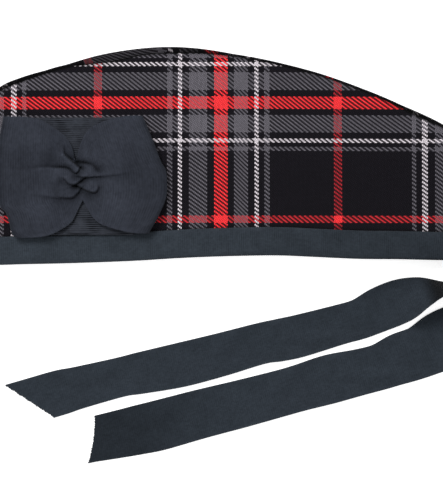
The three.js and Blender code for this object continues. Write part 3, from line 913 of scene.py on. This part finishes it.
RIBBED = ribbed_ribbon()
TARTAN = woven_material("tartan_wool", tartan_twill(), {}, 0.9, 0.03, 0.2 * MM)
BAND_RIBBON = ribbon_material("ribbon_on_band", linear(49, 55, 62), 0.25)
TAIL_RIBBON = ribbon_material("ribbon_of_tails", linear(45, 51, 58), 0.15)
BOW_RIBBON = ribbon_material("ribbon_of_bow", linear(44, 47, 55), 0.24)
PATCH_RIBBON = ribbon_material("ribbon_of_patch", linear(51, 54, 61), 0.95)
LOOSE_THREAD = thread_material()


# Geometry Nodes for the ribs and the frayed threads.


def named_attribute(tree, name, kind):
    inputs = {"Name": name}
    node = add_node(tree, "GeometryNodeInputNamedAttribute", inputs, data_type=kind)
    return Field(tree, node.outputs["Attribute"])


def end_tree(tree, shape, material, target):
    """Realizes what a tree has made and gives it its material."""
    whole = add_node(tree, "GeometryNodeRealizeInstances", {0: shape}).outputs[0]
    inputs = {"Geometry": whole, "Material": material}
    finish = add_node(tree, "GeometryNodeSetMaterial", inputs)
    connect(tree, finish.outputs[0], target.inputs[0])


def ribs_tree():
    """Raises ribs across a ribbon, by how far along the ribbon each point is."""
    inputs = [
        ("Geometry", SHAPE),
        ("Rib Pitch", NUMBER, RIB_PITCH * MM),
        ("Rib Height", NUMBER, RIB_HEIGHT * MM),
        ("Material", FINISH),
    ]
    tree, given, target = new_group("raise_ribs", "GeometryNodeTree", inputs, [("Geometry", SHAPE)])
    ribbon, pitch, rib_height, material = given
    phase = named_attribute(tree, "along", "FLOAT") / pitch * math.pi
    profile = phase.math("SINE").math("ABSOLUTE").math("POWER", 0.7) - 0.5
    normal = add_node(tree, "GeometryNodeInputNormal").outputs[0]
    raised = {0: normal, "Scale": profile * rib_height}
    offset = add_node(tree, "ShaderNodeVectorMath", raised, operation="SCALE").outputs[0]
    moved = add_node(tree, "GeometryNodeSetPosition", {"Geometry": ribbon, "Offset": offset})
    end_tree(tree, moved.outputs[0], material, target)
    return tree


def threads_tree():
    """Sets a short bent thread on every point, leaning about the way that the cloth runs out."""
    inputs = [
        ("Geometry", SHAPE),
        ("Thread Length", NUMBER, 1.0 * MM),
        ("Thread Radius", NUMBER, 0.07 * MM),
        ("Spread", NUMBER, 0.5),
        ("Seed", "NodeSocketInt", 3),
        ("Material", FINISH),
    ]
    tree, given, target = new_group("frayed_threads", "GeometryNodeTree", inputs, [("Geometry", SHAPE)])
    points, length, radius, spread, seed, material = given

    def made(kind, inputs=(), **settings):
        return add_node(tree, kind, inputs, **settings).outputs

    def vector(x, y, z):
        return made("ShaderNodeCombineXYZ", {0: x, 1: y, 2: z})[0]

    bend, tip = vector(0.0, 0.0, length * 0.6), vector(length * 0.3, 0.0, length)
    line = {"Resolution": 5, "Start": (0, 0, 0), "Middle": bend, "End": tip}
    strand = made("GeometryNodeCurveQuadraticBezier", line)[0]
    section = made("GeometryNodeCurvePrimitiveCircle", {"Resolution": 5, "Radius": radius})[0]
    ends = {"Curve": strand, "Profile Curve": section, "Fill Caps": True}
    thread = made("GeometryNodeCurveToMesh", ends)[0]
    outward = {"Vector": named_attribute(tree, "outward", "FLOAT_VECTOR")}
    aim = made("FunctionNodeAlignRotationToVector", outward, axis="Z")[0]
    least, most = vector(spread * -0.6, spread * -1.0, -3.1), vector(spread * 0.6, spread, 3.1)
    leans = {"Min": least, "Max": most, "Seed": seed}
    lean = made("FunctionNodeRandomValue", leans, data_type="FLOAT_VECTOR")["Value"]
    turn = {"Rotation": aim, "Rotate By": made("FunctionNodeEulerToRotation", {0: lean})[0]}
    turned = made("FunctionNodeRotateRotation", turn, rotation_space="LOCAL")[0]
    sizes = made("FunctionNodeRandomValue", {2: 0.35, 3: 1.0, "Seed": seed}, data_type="FLOAT")
    scale = Field(tree, sizes[1]) * named_attribute(tree, "length", "FLOAT")
    each = {"Instance": thread, "Rotation": turned, "Scale": vector(1.0, 1.0, scale)}
    placed = made("GeometryNodeInstanceOnPoints", {"Points": points, **each})[0]
    end_tree(tree, placed, material, target)
    return tree


def grown(piece, tree, values):
    """Runs a geometry tree on a piece and keeps the result as its plain mesh."""
    modifier = piece.modifiers.new(tree.name, "NODES")
    modifier.node_group = tree
    for socket in tree.interface.items_tree:
        if socket.in_out == "INPUT" and socket.name in values:
            modifier[socket.identifier] = values[socket.name]
    depsgraph = bpy.context.evaluated_depsgraph_get()
    result = bpy.data.meshes.new_from_object(
        piece.evaluated_get(depsgraph), preserve_all_data_layers=True, depsgraph=depsgraph
    )
    piece.modifiers.remove(modifier)
    piece.data = result
    result.shade_smooth()
    return piece


RIBS = ribs_tree()
THREADS = threads_tree()


def frayed_edge(name, points, outwards, lengths):
    """Loose threads along a cut edge. Lengths are shares of a full thread's length."""
    mesh = bpy.data.meshes.new(name)
    mesh.from_pydata((points * MM + PLAN_SHIFT).tolist(), [], [])
    set_attribute(mesh, "outward", "FLOAT_VECTOR", np.tile(outwards, (len(points), 1)))
    set_attribute(mesh, "length", "FLOAT", lengths)
    threads = in_scene(name, mesh)
    grown(threads, THREADS, {"Material": LOOSE_THREAD})
    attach(threads, "root")
    return threads


def ribbon_sheet(name, material, face, pattern, run, rib_height=RIB_HEIGHT, pitch=RIB_PITCH, **settings):
    """A closed sheet of ribbon. Run is how far along the ribbon each point is."""
    piece = cloth_sheet(name, face, RIBBON_CLOTH, pattern, along=run * MM, **settings)
    values = {"Rib Pitch": pitch * MM, "Rib Height": rib_height * MM, "Material": material}
    return grown(piece, RIBS, values)


# The tartan sides.


def sett_place(x, y):
    """A place in the tartan for a point of the plan."""
    up = y - SETT_Y
    return x + warp_drift(x), up - WEFT_DRIFT * ease(up / WEFT_DRIFT_REACH)


def make_side(name, facing):
    """A side of the cap, whose facing is 1 for the upper one and -1 for the lower one."""
    share, turn, lean = side_columns(NOSE_STEPS, SIDE_STEPS)
    u, v = np.meshgrid(share, np.linspace(0, 1, SIDE_ROWS), indexing="ij")
    x, y = side_point(u, v)
    turn = facing * turn[:, None]
    lean = np.broadcast_to(lean[:, None], x.shape)
    smooth = side_height(x, y, turn)

    # The cloth lies in slow waves that end at its edges, and is drawn in at the crest seam.
    to_seam = seam_at(x) - y
    waves = 0.35 * np.sin(x / 23 + 0.4) * np.sin(y / 17) + 0.2 * np.sin(x / 11 + y / 19)
    waves = 0.6 * waves * np.sin(np.pi * np.clip(v, 0, 1)) * np.sin(np.pi * np.clip(u, 0, 1))
    drawn = seam_draw(x) * bump(to_seam, 1.3)
    on_flat = np.abs(turn) > 0.999
    top = np.maximum(smooth + (waves - drawn) * facing * on_flat, RESTING)
    face = np.stack([x, y, top], 2)
    back = np.stack([x - SIDE_CLOTH * lean, y, top - SIDE_CLOTH * turn], 2)

    # The tartan runs on round both ends as it would on the cloth laid flat.
    first_row = x[:, 0]
    curl = running(np.hypot(np.diff(first_row), np.diff(smooth[:, SIDE_ROWS // 2])))
    flat_x = first_row.copy()
    flat_x[:NOSE_STEPS] = first_row[NOSE_STEPS] + curl[:NOSE_STEPS] - curl[NOSE_STEPS]
    flat_x[-NOSE_STEPS:] = first_row[-NOSE_STEPS - 1] + curl[-NOSE_STEPS:] - curl[-NOSE_STEPS - 1]
    beyond = (flat_x - first_row)[:, None]
    pattern = np.stack(sett_place(x + beyond, y), 2)

    seam_shade = (0.35 + 0.5 * crest_crease(x)) * bump(to_seam, 0.8)
    band_shade = 0.35 * bump(np.maximum(y - edge_at(x) - BAND_WIDTH, 0), 0.9)
    shade = (1 - seam_shade) * (1 - band_shade)
    if facing < 0:
        face, back, pattern, shade = (part[:, ::-1] for part in (face, back, pattern, shade))
    piece = cloth_sheet(name + "_cloth", face, back, pattern, shade=shade)
    piece.data.materials.append(TARTAN)
    finish_piece(piece, [name], flat_area(face))


# The crown insert.


def crown_half(x):
    """Half of the insert's section at one place, as points (y, z) from its seam allowance over
    the crest and down into the valley, with the section's middle and its innermost point."""
    roll_steps, leg_steps = 12, 8
    crest, seam = float(crest_at(x)), float(seam_at(x))
    low = float(side_height(x, seam, -1))
    high = float(side_height(x, seam, 1))
    middle = (low + high) / 2
    room = (high - low) / 2 - 2 * ROLL_RADIUS - FOLD_RADIUS
    full_room = CREST_DEPTH / 2 - 2 * ROLL_RADIUS - FOLD_RADIUS
    depth = lerp(SHALLOWEST_VALLEY, VALLEY_DEPTH, float(ease(room / full_room)))
    roll = np.array([crest - ROLL_RADIUS, high - ROLL_RADIUS])
    fold = np.array([crest - depth + FOLD_RADIUS, middle])
    apart = fold - roll
    bearing = math.atan2(apart[1], apart[0])
    swing = math.acos((ROLL_RADIUS + FOLD_RADIUS) / np.hypot(*apart))
    leave = (bearing - 2 * math.pi if bearing > 0 else bearing) + swing

    def on_arc(centre, radius, angle):
        return centre + radius * np.array([math.cos(angle), math.sin(angle)])

    drawn = float(seam_draw(x))
    lead = float(np.clip(crest - seam - ROLL_RADIUS, 0.3, 1.1))
    start = math.acos(max(seam + lead - roll[0], 0) / ROLL_RADIUS)
    top = on_arc(roll, ROLL_RADIUS, start)[1]
    tucked = [(0.1, 0.8 * SIDE_CLOTH), (0.2, drawn + 0.3), (0.55, 0.7 * drawn), (0.9, 0.3 * drawn)]
    points = [np.array([seam + lead * out, top - down]) for out, down in tucked]
    for step in range(roll_steps + 1):
        points.append(on_arc(roll, ROLL_RADIUS, lerp(start, leave, step / roll_steps)))
    leg_start, leg_end = points[-1], on_arc(fold, FOLD_RADIUS, leave + math.pi)
    points += [lerp(leg_start, leg_end, step / leg_steps) for step in range(1, leg_steps + 1)]
    points.append(on_arc(fold, FOLD_RADIUS, leave / 2 + math.pi))
    return np.array(points), middle, on_arc(fold, FOLD_RADIUS, math.pi)


def make_crown():
    """The insert over the crest. Its rim curves away from the light, and is darkest at its ends
    and behind the striped stretch."""
    in_sight = RIM_MOST + 2
    face, pattern, shade = [], [], []
    for x in np.linspace(CREST_FRONT + NOSE_RADIUS, CREST_BACK - NOSE_RADIUS, CROWN_STATIONS):
        half, middle, bottom = crown_half(x)
        mirrored = half[::-1] * [1, -1] + [0, 2 * middle]
        section = np.vstack([half, bottom, mirrored])
        run = running(np.hypot(*np.diff(section, axis=0).T))
        run = np.minimum(run, run[-1] - run)
        face.append(np.column_stack([np.full(len(section), x), section]))
        leaning = x + RIM_CUT + RIM_LEAN * run
        seen = np.minimum(run, in_sight)
        before, behind = (RIM_STRIPED[0] - x) / RIM_FADE[0], (x - RIM_STRIPED[1]) / RIM_FADE[1]
        in_black = max(ease(before), ease(behind))
        up = lerp(RIM_UP + seen, RIM_UP_ELSEWHERE + 0.45 * seen, in_black)
        pattern.append(np.column_stack([leaning + warp_drift(leaning), up]))
        ends = float(crest_crease(x))
        light = lerp(0.3, 0.12, ends) + 0.1 * (1 - ends) * ease(run / 3)
        light = light * (1 - 0.6 * ease((x + 36) / 20))
        shade.append(np.where(run > in_sight, 0.5, light))
    face, pattern, shade = np.array(face), np.array(pattern), np.array(shade)
    piece = cloth_sheet("crown_insert_cloth", face, CROWN_CLOTH, pattern, shade=shade)
    piece.data.materials.append(TARTAN)
    area = flat_area(face)
    finish_piece(piece, ["crown_insert"], area)


# The ribbon band.


def make_band():
    """The ribbon folded over the edge of both sides, all the way round the mouth."""
    turn_in = -SIDE_CLOTH - BAND_PROUD
    face_steps, hem_steps = 10, 9

    # The section, from the rounded upper edge of the face round the hem to the edge inside.
    out = [BAND_PROUD - 0.55, BAND_PROUD - 0.15] + [BAND_PROUD] * face_steps
    up = [BAND_WIDTH, BAND_WIDTH - 0.4, *np.linspace(BAND_WIDTH - 1.2, HEM_RADIUS, face_steps)]
    for step in range(1, hem_steps):
        angle = math.pi * step / hem_steps
        out.append((turn_in + BAND_PROUD) / 2 + HEM_RADIUS * math.cos(angle))
        up.append(HEM_RADIUS * (1 - math.sin(angle)))
    out += [turn_in, turn_in, turn_in]
    up += [HEM_RADIUS, (HEM_RADIUS + BAND_TURN_IN) / 2, BAND_TURN_IN]
    out, up = np.array(out)[::-1], np.array(up)[::-1]

    # The way round: back along the upper side, and forwards along the lower one.
    share, turn, lean = side_columns(NOSE_STEPS, BAND_STEPS)
    share = np.concatenate([share, share[::-1]])
    turn = np.concatenate([turn, -turn[::-1]])
    lean = np.concatenate([lean, lean[::-1]])

    def ring(share, turn, lean):
        edge = lerp(front_at(up), back_at(up), share[:, None])
        y = edge_at(edge) + up
        x = edge + out * lean[:, None]
        return np.stack([x, y, side_height(edge, y, turn[:, None]) + out * turn[:, None]], 2)

    # The rows of the mesh are set out again, for a whole number of ribs all round.
    at_hem = ring(share, turn, lean)[:, len(up) // 2]
    places = running(np.linalg.norm(np.roll(at_hem, -1, 0) - at_hem, axis=1))
    ribs = round(places[-1] / RIB_PITCH)
    pitch = places[-1] / ribs
    along = np.arange(ribs * RIB_STEPS) * pitch / RIB_STEPS
    closed = [np.append(values, values[0]) for values in (share, turn, lean)]
    face = ring(*(np.interp(along, places, values) for values in closed))
    face[:, :, 2] = np.maximum(face[:, :, 2], BAND_RESTING)
    pattern = grid(np.append(along, places[-1]), np.linspace(1, 0, len(up)))
    shade = 1 - 0.17 * ease((face[:, :, 0] + 40) / 140)
    run = along[:, None]
    piece = ribbon_sheet(
        "band_ribbon", BAND_RIBBON, face, pattern, run, pitch=pitch, looped=True, shade=shade
    )
    finish_piece(piece, ["band"])


# The ribbon tails.


def make_tail(name, route, rise, slant, hollow, ripple):
    """A ribbon tail along its centre line. It stands on its lower edge where it banks.

    Slant and hollow are how its cut end runs, and ripple is how far its edges wave.
    """
    index = np.arange(len(route["along"]))
    at = np.linspace(0, index[-1], ROUTE_STEPS)
    along, below, bank, width = (smooth_through(index, column)(at) for column in route.values())
    x, y = TAIL_ROOT + along * TAIL_REACH, -below * TAIL_WIDTH
    bank = np.radians(np.maximum(bank, 0))
    half = TAIL_WIDTH / 2 * width
    sunk = rise * (1 - ease(at / index[-1] / TAIL_SINK))
    z = RIBBON_CLOTH + TAIL_RESTING + np.maximum(sunk, half * np.sin(bank))

    # The centre line runs on straight, for the cut to end the ribbon.
    last_steps, more_steps = 40, 60
    direction = np.array([x[-1] - x[-last_steps], y[-1] - y[-last_steps]])
    direction = direction / np.hypot(*direction)
    past = np.linspace(0, TAIL_WIDTH, more_steps)[1:]
    x = np.append(x, x[-1] + direction[0] * past)
    y = np.append(y, y[-1] + direction[1] * past)
    z, bank, half = (np.append(v, np.full(len(past), v[-1])) for v in (z, bank, half))
    places = running(np.sqrt(np.diff(x) ** 2 + np.diff(y) ** 2 + np.diff(z) ** 2))
    end = places[ROUTE_STEPS - 1]
    along = np.arange(0, end + TAIL_WIDTH, RIB_SPACING)
    x, y, z, bank, half = (np.interp(along, places, v) for v in (x, y, z, bank, half))
    heading = np.stack([np.gradient(x), np.gradient(y)], 1)
    heading /= np.linalg.norm(heading, axis=1, keepdims=True)
    across = np.stack([-heading[:, 1] * np.cos(bank), heading[:, 0] * np.cos(bank), np.sin(bank)], 1)
    side = np.linspace(-1, 1, TAIL_COLUMNS)
    centre = np.stack([x, y, z], 1)
    face = centre[:, None] + across[:, None] * (side[None, :, None] * half[:, None, None])
    far_wave = (1 + np.sin(along / 31 + 1.3))[:, None] * np.maximum(side, 0) ** 2
    near_wave = (1 + np.sin(along / 43 + 4.0))[:, None] * np.maximum(-side, 0) ** 2
    lying = np.cos(bank)[:, None] ** 4 * ease((along / end - 0.35) / 0.1)[:, None]
    face[:, :, 2] += ripple * (far_wave + near_wave) * lying

    # The cut goes across in snips of half a rib, each a little ragged.
    middle = (side[1:] + side[:-1]) / 2
    snip = RIB_PITCH / 2
    ragged = np.random.default_rng(7).uniform(-0.2, 0.2, len(middle))
    cut_across = (np.floor(middle * half[-1] / snip) + 0.5) * snip
    stop = end + slant * cut_across - hollow * (1 - middle**2) + ragged
    kept = (along[:-1] + RIB_SPACING / 2)[:, None] < stop[None, :]
    shade = 1 - 0.86 * ease((np.degrees(bank) - 40) / 28)[:, None] * np.ones(TAIL_COLUMNS)
    shade = shade * (1 - 0.28 * hollow * ease((along / end - 0.7) / 0.25))[:, None]
    pattern = grid(along, np.linspace(0, 1, TAIL_COLUMNS))
    run = along[:, None]
    piece = ribbon_sheet(name + "_ribbon", TAIL_RIBBON, face, pattern, run, kept=kept, shade=shade)
    row = np.clip(stop / RIB_SPACING - 1, 0, len(along) - 2).astype(int)
    column = np.arange(TAIL_COLUMNS - 1)
    cut_edge = lerp(face[row, column], face[row + 1, column + 1], 0.5)
    lengths = 0.5 + hollow * (np.abs(middle) > 0.93)
    threads = frayed_edge(name + "_threads", cut_edge, np.append(direction, 0), lengths)
    finish_piece(piece, [name])


# The bow.


def wing_plan(wing, out, across):
    """A point of a wing in the plan, blended between its four edges."""
    upper, lower, outer = (edge_line(wing[edge]) for edge in ("upper", "lower", "outer"))
    result = []
    for place, name in enumerate(("out", "up")):
        low, high = wing["lower"][name], wing["upper"][name]
        inner = lerp(low[0], high[0], across)
        between = lerp(lower[place](out), upper[place](out), across)
        ends = lerp(inner, outer[place](across), out)
        corners = lerp(inner, lerp(low[-1], high[-1], across), out)
        result.append(between + ends - corners)
    x = KNOT_X + wing["side"] * result[0] * BOW_SPAN
    return x, BOW_UP + result[1] * BOW_HEIGHT


def crease_lines():
    """Each crease as points along it, with the way it runs and its dip, step and width."""
    lines = []
    for rows in CREASES.values():
        places = bow_run(rows["over"], rows["up"])
        at = np.linspace(0, places[-1], 90)
        x = KNOT_X + smooth_through(places, rows["over"])(at) * BOW_SPAN
        y = BOW_UP + smooth_through(places, rows["up"])(at) * BOW_HEIGHT
        ways = np.stack([np.gradient(x), np.gradient(y)], 1)
        ways /= np.linalg.norm(ways, axis=1, keepdims=True)
        shape = (np.interp(at, places, rows[key]) for key in ("dip", "step", "wide"))
        lines.append((x, y, ways, *shape))
    return lines


CREASE_LINES = crease_lines()


def bow_relief(x, y):
    """How the creases and swells lift the bow's ribbon, and how much light they leave it."""
    flat_x, flat_y = np.ravel(x), np.ravel(y)
    height, light = np.zeros(flat_x.shape), np.ones(flat_x.shape)
    for line_x, line_y, ways, dip, step, wide in CREASE_LINES:
        apart_x, apart_y = flat_x[:, None] - line_x, flat_y[:, None] - line_y
        apart = np.hypot(apart_x, apart_y)
        nearest = apart.argmin(1)
        index = np.arange(len(flat_x)), nearest
        distance = apart[index]
        way = ways[nearest]
        left = way[:, 0] * apart_y[index] - way[:, 1] * apart_x[index]
        groove = bump(distance, wide[nearest])
        side = np.tanh(left / 0.3)
        height += 0.75 * step[nearest] * side * np.exp(-distance / 2.6)
        height -= dip[nearest] * (0.8 * groove + 0.4 * bump(distance, 3 * wide[nearest]))
        below = (1 - side) / 2
        deep = np.minimum(dip[nearest], 1.2)
        light *= 1 - deep * (0.42 * groove + 0.36 * below * bump(distance, 2.6))
        light *= 1 + 0.16 * np.minimum(step[nearest], 1.4) * (1 - below) * bump(distance - 1.3, 1.2)
    for over, up, wide, rise in zip(*SWELLS.values()):
        distance = np.hypot(flat_x - KNOT_X - over * BOW_SPAN, flat_y - BOW_UP - up * BOW_HEIGHT)
        swell = rise * bump(distance, wide)
        height += swell
        light *= np.maximum(1 + 0.17 * swell, 0.4)
    return height.reshape(np.shape(x)), light.reshape(np.shape(x))


def bow_height(x, y):
    """How high the bow's ribbon lies over what carries it, without its creases."""
    over = np.abs(x - KNOT_X) / BOW_SPAN
    up = np.abs(y - BOW_UP) / BOW_HEIGHT
    wing_reach = 0.14 + 0.36 * (1 - np.exp(-over / 0.09))
    swell_over = np.sin(np.pi * np.clip(lerp(0.06, 0.93, over / 0.48), 0, 1))
    swell_up = 0.35 + 0.65 * np.cos(np.pi / 2 * np.clip(up / wing_reach, 0, 1)) ** 0.7
    from_knot = np.hypot(x - KNOT_X, y - BOW_UP)
    return BOW_BED + RIBBON_SPACE + BOW_PUFF * swell_over * swell_up + KNOT_SWELL * bump(from_knot, 9)


def knot_share(x, y):
    """How far a point is from the knot's middle, as a share of the way to the knot's outline."""
    out_x, out_y = KNOT_OUTLINE["over"] * BOW_SPAN, KNOT_OUTLINE["up"] * BOW_HEIGHT
    bearings = np.arctan2(out_y, out_x)
    order = np.argsort(bearings)
    bearing = np.arctan2(y - BOW_UP, x - KNOT_X)
    reach = np.interp(bearing, bearings[order], np.hypot(out_x, out_y)[order], period=2 * math.pi)
    return np.hypot(x - KNOT_X, y - BOW_UP) / reach


def make_wing(name, wing, nodes):
    """A wing of the bow: its front from the knot out, the fold at its end, and its back."""
    front_steps, back_steps = WING_RIBS * RIB_STEPS, WING_RIBS
    fold_steps, fold_part = 6, 0.975
    across = np.linspace(0, 1, WING_COLUMNS)
    out = np.linspace(0, fold_part, front_steps + 1)[:, None] * np.ones(WING_COLUMNS)
    share = np.ones((front_steps + 1, 1)) * across
    x, y = wing_plan(wing, out, share)
    relief, light = bow_relief(x, y)
    under_knot = 1.2 * (1 - ease((knot_share(x, y) - 0.7) / 0.25))
    waves = 0.45 * np.sin(share * 9 + 1.2) * np.sin(np.pi * out) + 0.25 * np.sin(share * 21 + out * 5)
    front = np.stack([x, y, top_at(x, y) + bow_height(x, y) + relief - under_knot + waves * out], 2)
    last = front[-1]
    under_z = top_at(last[:, 0], last[:, 1]) + BOW_BED
    radius = (last[:, 2] - under_z) / 2
    x_edge, y_edge = wing_plan(wing, np.ones(WING_COLUMNS), across)
    turn = []
    for step in range(1, fold_steps):
        angle = math.pi * step / fold_steps
        reach = math.sin(angle)
        bend_x, bend_y = lerp(last[:, 0], x_edge, reach), lerp(last[:, 1], y_edge, reach)
        turn.append(np.stack([bend_x, bend_y, under_z + radius * (1 + math.cos(angle))], 1))
    under = []
    for place in np.linspace(fold_part, 0.1, back_steps):
        back_x, back_y = wing_plan(wing, np.full(WING_COLUMNS, place), lerp(0.02, 0.98, across))
        under.append(np.stack([back_x, back_y, top_at(back_x, back_y) + BOW_BED], 1))
    face = np.concatenate([front, np.array(turn), np.array(under)])
    run = np.arange(front_steps + fold_steps) * RIB_SPACING
    run = np.concatenate([run, run[-1] + RIB_SPACING + np.arange(back_steps) * RIB_PITCH])
    pattern = grid(run, across)
    shade = np.ones(face.shape[:2])
    shade[: front_steps + 1] = light * (1 - 0.3 * ease((out - 0.91) / 0.09))
    shade[front_steps + 1 :] = 0.7
    if wing["side"] < 0:
        face, pattern, shade = face[:, ::-1], pattern[:, ::-1], shade[:, ::-1]
    run = run[:, None]
    piece = ribbon_sheet(name, BOW_RIBBON, face, pattern, run, BOW_RIB_HEIGHT, shade=shade)
    finish_piece(piece, nodes)


def make_patch():
    """The ribbed patch behind the bow: a flat loop of ribbon, folded at its top and bottom."""
    fold = (PATCH_TOP - CLEARANCE) / 2
    flat = PATCH_HEIGHT - 2 * fold
    half_turn = math.pi * fold
    loop = 2 * (flat + half_turn)
    ribs = round(loop / RIB_PITCH)
    pitch = loop / ribs
    run = np.arange(ribs * RIB_STEPS) * pitch / RIB_STEPS

    # Up the front, over the top fold, down the back and round the lower fold.
    top_turn, low_turn = (run - flat) / fold, (run - 2 * flat - half_turn) / fold
    parts = [run < flat, run < flat + half_turn, run < 2 * flat + half_turn]
    rising, falling = run - flat / 2, 1.5 * flat + half_turn - run
    round_top, round_low = flat / 2 + fold * np.sin(top_turn), -flat / 2 - fold * np.sin(low_turn)
    up = np.select(parts, [rising, round_top, falling], round_low)
    over = np.select(parts, [2 * fold, fold * (1 + np.cos(top_turn)), 0], fold * (1 - np.cos(low_turn)))
    width = np.linspace(PATCH_WIDTH / 2, -PATCH_WIDTH / 2, PATCH_COLUMNS)
    x = KNOT_X + np.broadcast_to(width, (len(run), PATCH_COLUMNS))
    y = PATCH_UP + np.broadcast_to(up[:, None], x.shape)
    face = np.stack([x, y, top_at(x, y) + CLEARANCE + over[:, None]], 2)
    pattern = grid(np.append(run, loop), np.linspace(1, 0, PATCH_COLUMNS))
    shade = np.ones(face.shape[:2])
    run = run[:, None]
    piece = ribbon_sheet(
        "bow_patch_ribbon", PATCH_RIBBON, face, pattern, run,
        PATCH_RIB_HEIGHT, pitch, looped=True, shade=shade,
    )
    cut = (PATCH_WIDTH * MM, loop * MM)
    finish_piece(piece, ["bow_patch"])


def make_knot():
    """The folds of both wings where they are caught together, as one crumpled piece over them."""
    over, up = KNOT_OUTLINE["over"] * BOW_SPAN, KNOT_OUTLINE["up"] * BOW_HEIGHT
    x = KNOT_X + np.arange(over.min(), over.max(), RIB_SPACING)
    y = BOW_UP + np.arange(up.min(), up.max(), RIB_SPACING)
    x, y = np.meshgrid(x, y, indexing="ij")
    relief, light = bow_relief(x, y)
    share = knot_share(x, y)
    sunk = 1.3 * ease((share - 0.8) / 0.2)
    face = np.stack([x, y, top_at(x, y) + bow_height(x, y) + relief + 0.3 - sunk], 2)
    kept = (share[1:, 1:] + share[:-1, :-1]) / 2 < 1
    run = x - x[0, 0]
    across = (y - y[0, 0]) / (y[0, -1] - y[0, 0])
    pattern = np.stack([run, across * 0.6 + 0.2], 2)
    piece = ribbon_sheet(
        "bow_knot_folds", BOW_RIBBON, face, pattern, run, BOW_RIB_HEIGHT, kept=kept, shade=light
    )
    area = flat_area(face, kept)
    finish_piece(piece, ["bow_knot"], area)


make_side("side_left", 1)
make_side("side_right", -1)
make_crown()
make_band()
make_tail("tail_left", LEFT_TAIL, NOSE_RADIUS + TAIL_STACK, LEFT_TAIL_SLANT, 0.0, 0.5)
make_tail("tail_right", RIGHT_TAIL, NOSE_RADIUS, RIGHT_TAIL_SLANT, 1.2, 0.4)
make_patch()
make_wing("bow_back_wing", BACK_WING, ["bow_back_upper", "bow_back_lower"])
make_wing("bow_front_wing", FRONT_WING, ["bow_front_upper", "bow_front_lower"])
make_knot()


# The floor, the light and the camera, in metres.

FLOOR_SIZE = 6.0
VIEW_MIDDLE = (-0.0164, 0.0024)
VIEW_HEIGHT = 0.3018  # what the picture's height takes in, level with the middle of the cap
VIEW_LEVEL = 0.018
LENS = 300.0
SENSOR = 36.0
DAYLIGHT = 0.7
TABLE_LIGHT = 0.62


def floor_material():
    """A pale lit table, as for a catalogue picture."""
    values = {
        "Roughness": 0.9,
        "Base Color": (0.93, 0.93, 0.93, 1),
        "Emission Color": (1, 1, 1, 1),
        "Emission Strength": TABLE_LIGHT,
    }
    return new_material("pale_floor", values)[0]


def make_floor():
    half = FLOOR_SIZE / 2
    mesh = bpy.data.meshes.new("floor")
    corners = [(-half, -half, 0), (half, -half, 0), (half, half, 0), (-half, half, 0)]
    mesh.from_pydata(corners, [], [(0, 1, 2, 3)])
    mesh.materials.append(floor_material())
    in_scene("floor", mesh)


def make_light(name, place, size, power):
    """A round soft light that shines at the middle of the table."""
    data = bpy.data.lights.new(name, "AREA")
    data.shape = "DISK"
    data.size = size
    data.energy = power
    light = in_scene(name, data)
    light.location = place
    light.rotation_euler = light.location.to_track_quat("Z", "Y").to_euler()


def make_world():
    world = bpy.data.worlds.new("studio")
    world.use_nodes = True
    backdrop = world.node_tree.nodes["Background"]
    backdrop.inputs["Color"].default_value = (1, 1, 1, 1)
    backdrop.inputs["Strength"].default_value = DAYLIGHT
    bpy.context.scene.world = world


def make_camera():
    data = bpy.data.cameras.new("camera")
    data.lens = LENS
    data.sensor_width = SENSOR
    data.clip_end = 50
    camera = in_scene("camera", data)
    camera.location = (*VIEW_MIDDLE, VIEW_LEVEL + VIEW_HEIGHT * LENS / SENSOR)
    bpy.context.scene.camera = camera


make_floor()
make_light("key", (-0.9, 1.1, 1.7), 0.9, 27)
make_light("fill", (1.4, -0.9, 1.6), 1.6, 4)
make_world()
make_camera()
bpy.context.scene.view_settings.view_transform = "Standard"
